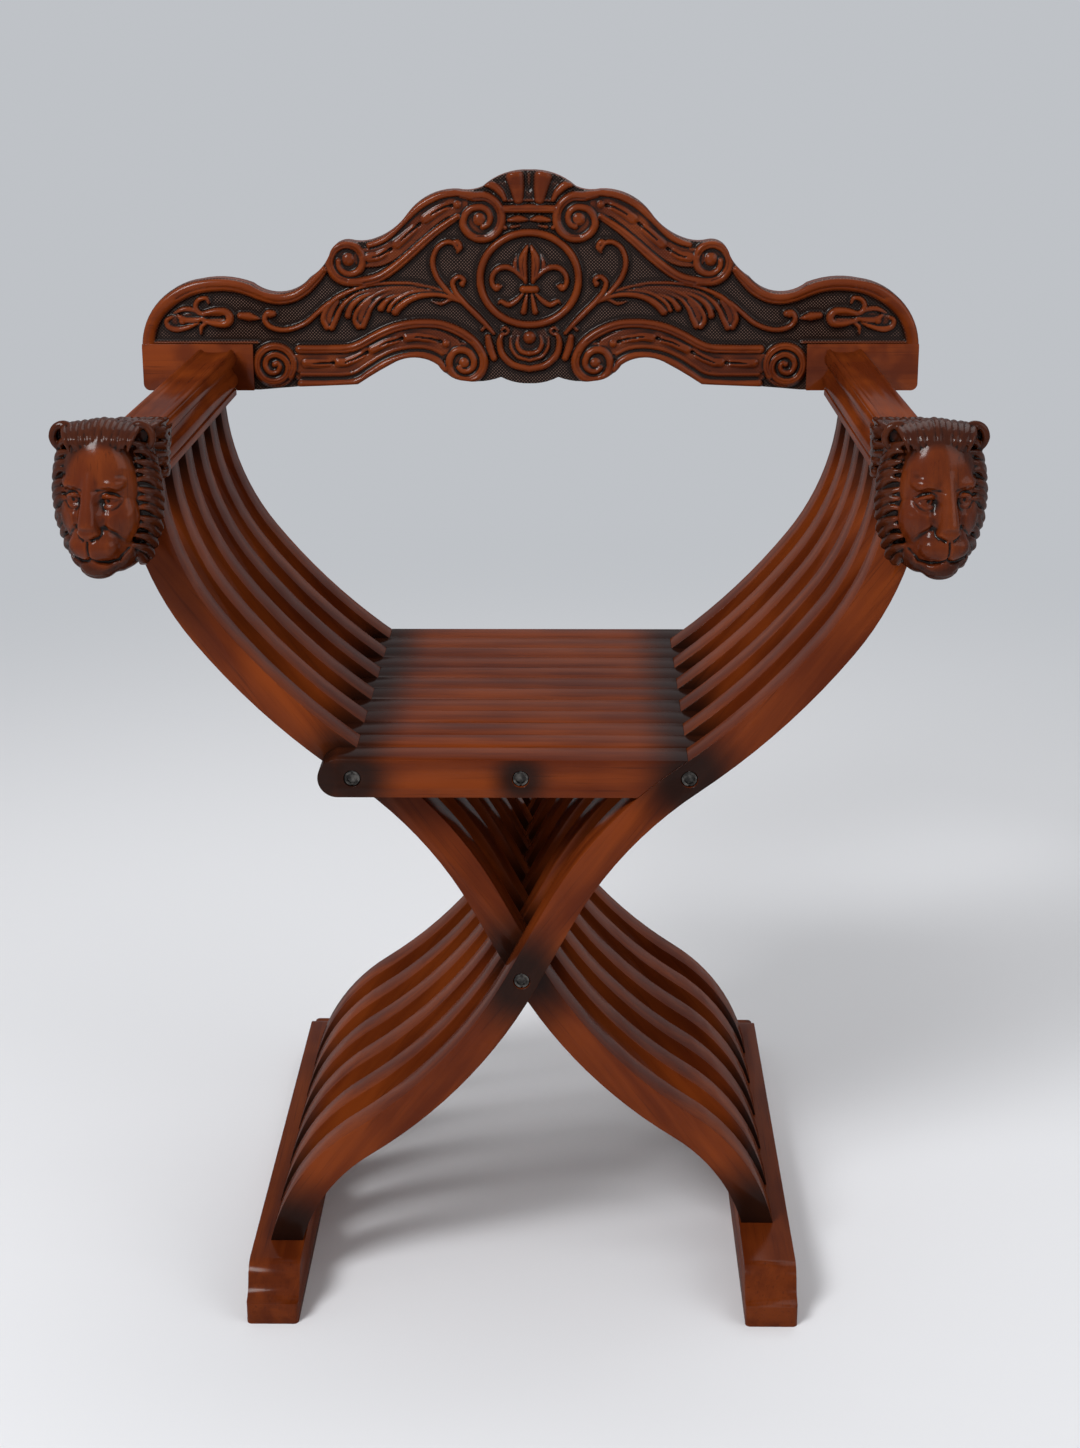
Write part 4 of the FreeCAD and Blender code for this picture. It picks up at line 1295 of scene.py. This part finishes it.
def light_scene(scene, look):
    """Large soft lamps, and an even sky that the camera sees in the backdrop's colour."""
    aim = Vector((0.0, 0.0, 0.45))
    lamps = (
        ("key_lamp", (-1.7, -2.3, 2.7), 1.2, look.key_power),
        ("fill_lamp", (2.4, -1.5, 1.9), 2.2, look.fill_power),
        ("top_lamp", (0.4, 1.6, 2.9), 2.0, look.fill_power),
    )
    for name, place, size, power in lamps:
        data = bpy.data.lights.new(name, "AREA")
        data.size = size
        data.energy = power
        lamp = bpy.data.objects.new(name, data)
        lamp.location = place
        lamp.rotation_euler = (aim - Vector(place)).to_track_quat("-Z", "Y").to_euler()
        scene.collection.objects.link(lamp)
    world = bpy.data.worlds.new("studio")
    world.use_nodes = True
    world.node_tree.nodes.clear()
    make = node_maker(world)
    seen = make("ShaderNodeBackground", {"Color": colour(look.backdrop_colour), "Strength": 1.0})
    up = part_along(make, make("ShaderNodeTexCoord").outputs["Generated"], "Z")
    strength = ramp(make, up, 0.0, 0.8, look.sky_strength * 0.25, look.sky_strength)
    sky = make("ShaderNodeBackground", {"Color": colour((1.0, 1.0, 1.0)), "Strength": strength})
    chosen = make("ShaderNodeMixShader", {0: seen_or_mirrored(make), 1: sky.outputs["Background"],
                                          2: seen.outputs["Background"]})
    make("ShaderNodeOutputWorld", {"Surface": chosen.outputs["Shader"]})
    scene.world = world


def set_camera(scene):
    """The camera in front of the chair, a little above and to the right of its middle."""
    photo_height, focal_pixels = 1448, 2300
    place = Vector((0.04055, -1.8079, 0.97064))
    turn, pitch, roll = 0.016146, 0.301463, -0.002627
    data = bpy.data.cameras.new("camera")
    data.sensor_width = 36.0
    data.lens = focal_pixels * data.sensor_width / photo_height
    camera = bpy.data.objects.new("camera", data)
    camera.matrix_world = (Matrix.Translation(place) @ Matrix.Rotation(turn, 4, "Z")
                           @ Matrix.Rotation(math.pi / 2 - pitch, 4, "X") @ Matrix.Rotation(roll, 4, "Z"))
    scene.collection.objects.link(camera)
    scene.camera = camera


class SAVONAROLA_PT_chair(bpy.types.Panel):
    """Sizes and colours of the armchair, and its pieces"""
    bl_idname = "SAVONAROLA_PT_chair"
    bl_label = "Savonarola Armchair"
    bl_space_type = "VIEW_3D"
    bl_region_type = "UI"
    bl_category = "Armchair"

    def draw(self, context):
        scene = context.scene
        for group in property_groups:
            box = self.layout.box()
            settings = getattr(scene, group)
            for name in settings.__annotations__:
                box.prop(settings, name)
        for operator in operators:
            self.layout.operator(operator.bl_idname)


property_groups = {"savonarola_finish": WalnutFinish, "savonarola_steel": SteelFinish,
                   "savonarola_slats": SlatSizes, "savonarola_board": BoardCarving,
                   "savonarola_heads": HeadCarving, "savonarola_stage": StageLook}
operators = (SAVONAROLA_OT_leg_slats, SAVONAROLA_OT_seat_slats, SAVONAROLA_OT_feet, SAVONAROLA_OT_arms,
             SAVONAROLA_OT_heads, SAVONAROLA_OT_back_board, SAVONAROLA_OT_rods, SAVONAROLA_OT_stage)


def register():
    """Registers the settings, the operators and the panel."""
    for name, group in property_groups.items():
        bpy.utils.register_class(group)
        setattr(bpy.types.Scene, name, PointerProperty(type=group))
    for operator in operators:
        bpy.utils.register_class(operator)
    bpy.utils.register_class(SAVONAROLA_PT_chair)


def unregister():
    """Takes away what register added."""
    bpy.utils.unregister_class(SAVONAROLA_PT_chair)
    for operator in reversed(operators):
        bpy.utils.unregister_class(operator)
    for name, group in property_groups.items():
        delattr(bpy.types.Scene, name)
        bpy.utils.unregister_class(group)


def main():
    """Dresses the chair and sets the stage."""
    register()
    bpy.ops.savonarola.leg_slats()
    bpy.ops.savonarola.seat_slats()
    bpy.ops.savonarola.feet()
    bpy.ops.savonarola.arms()
    bpy.ops.savonarola.heads()
    bpy.ops.savonarola.back_board()
    bpy.ops.savonarola.rods()
    bpy.ops.savonarola.stage()


if __name__ == "__main__":
    main()
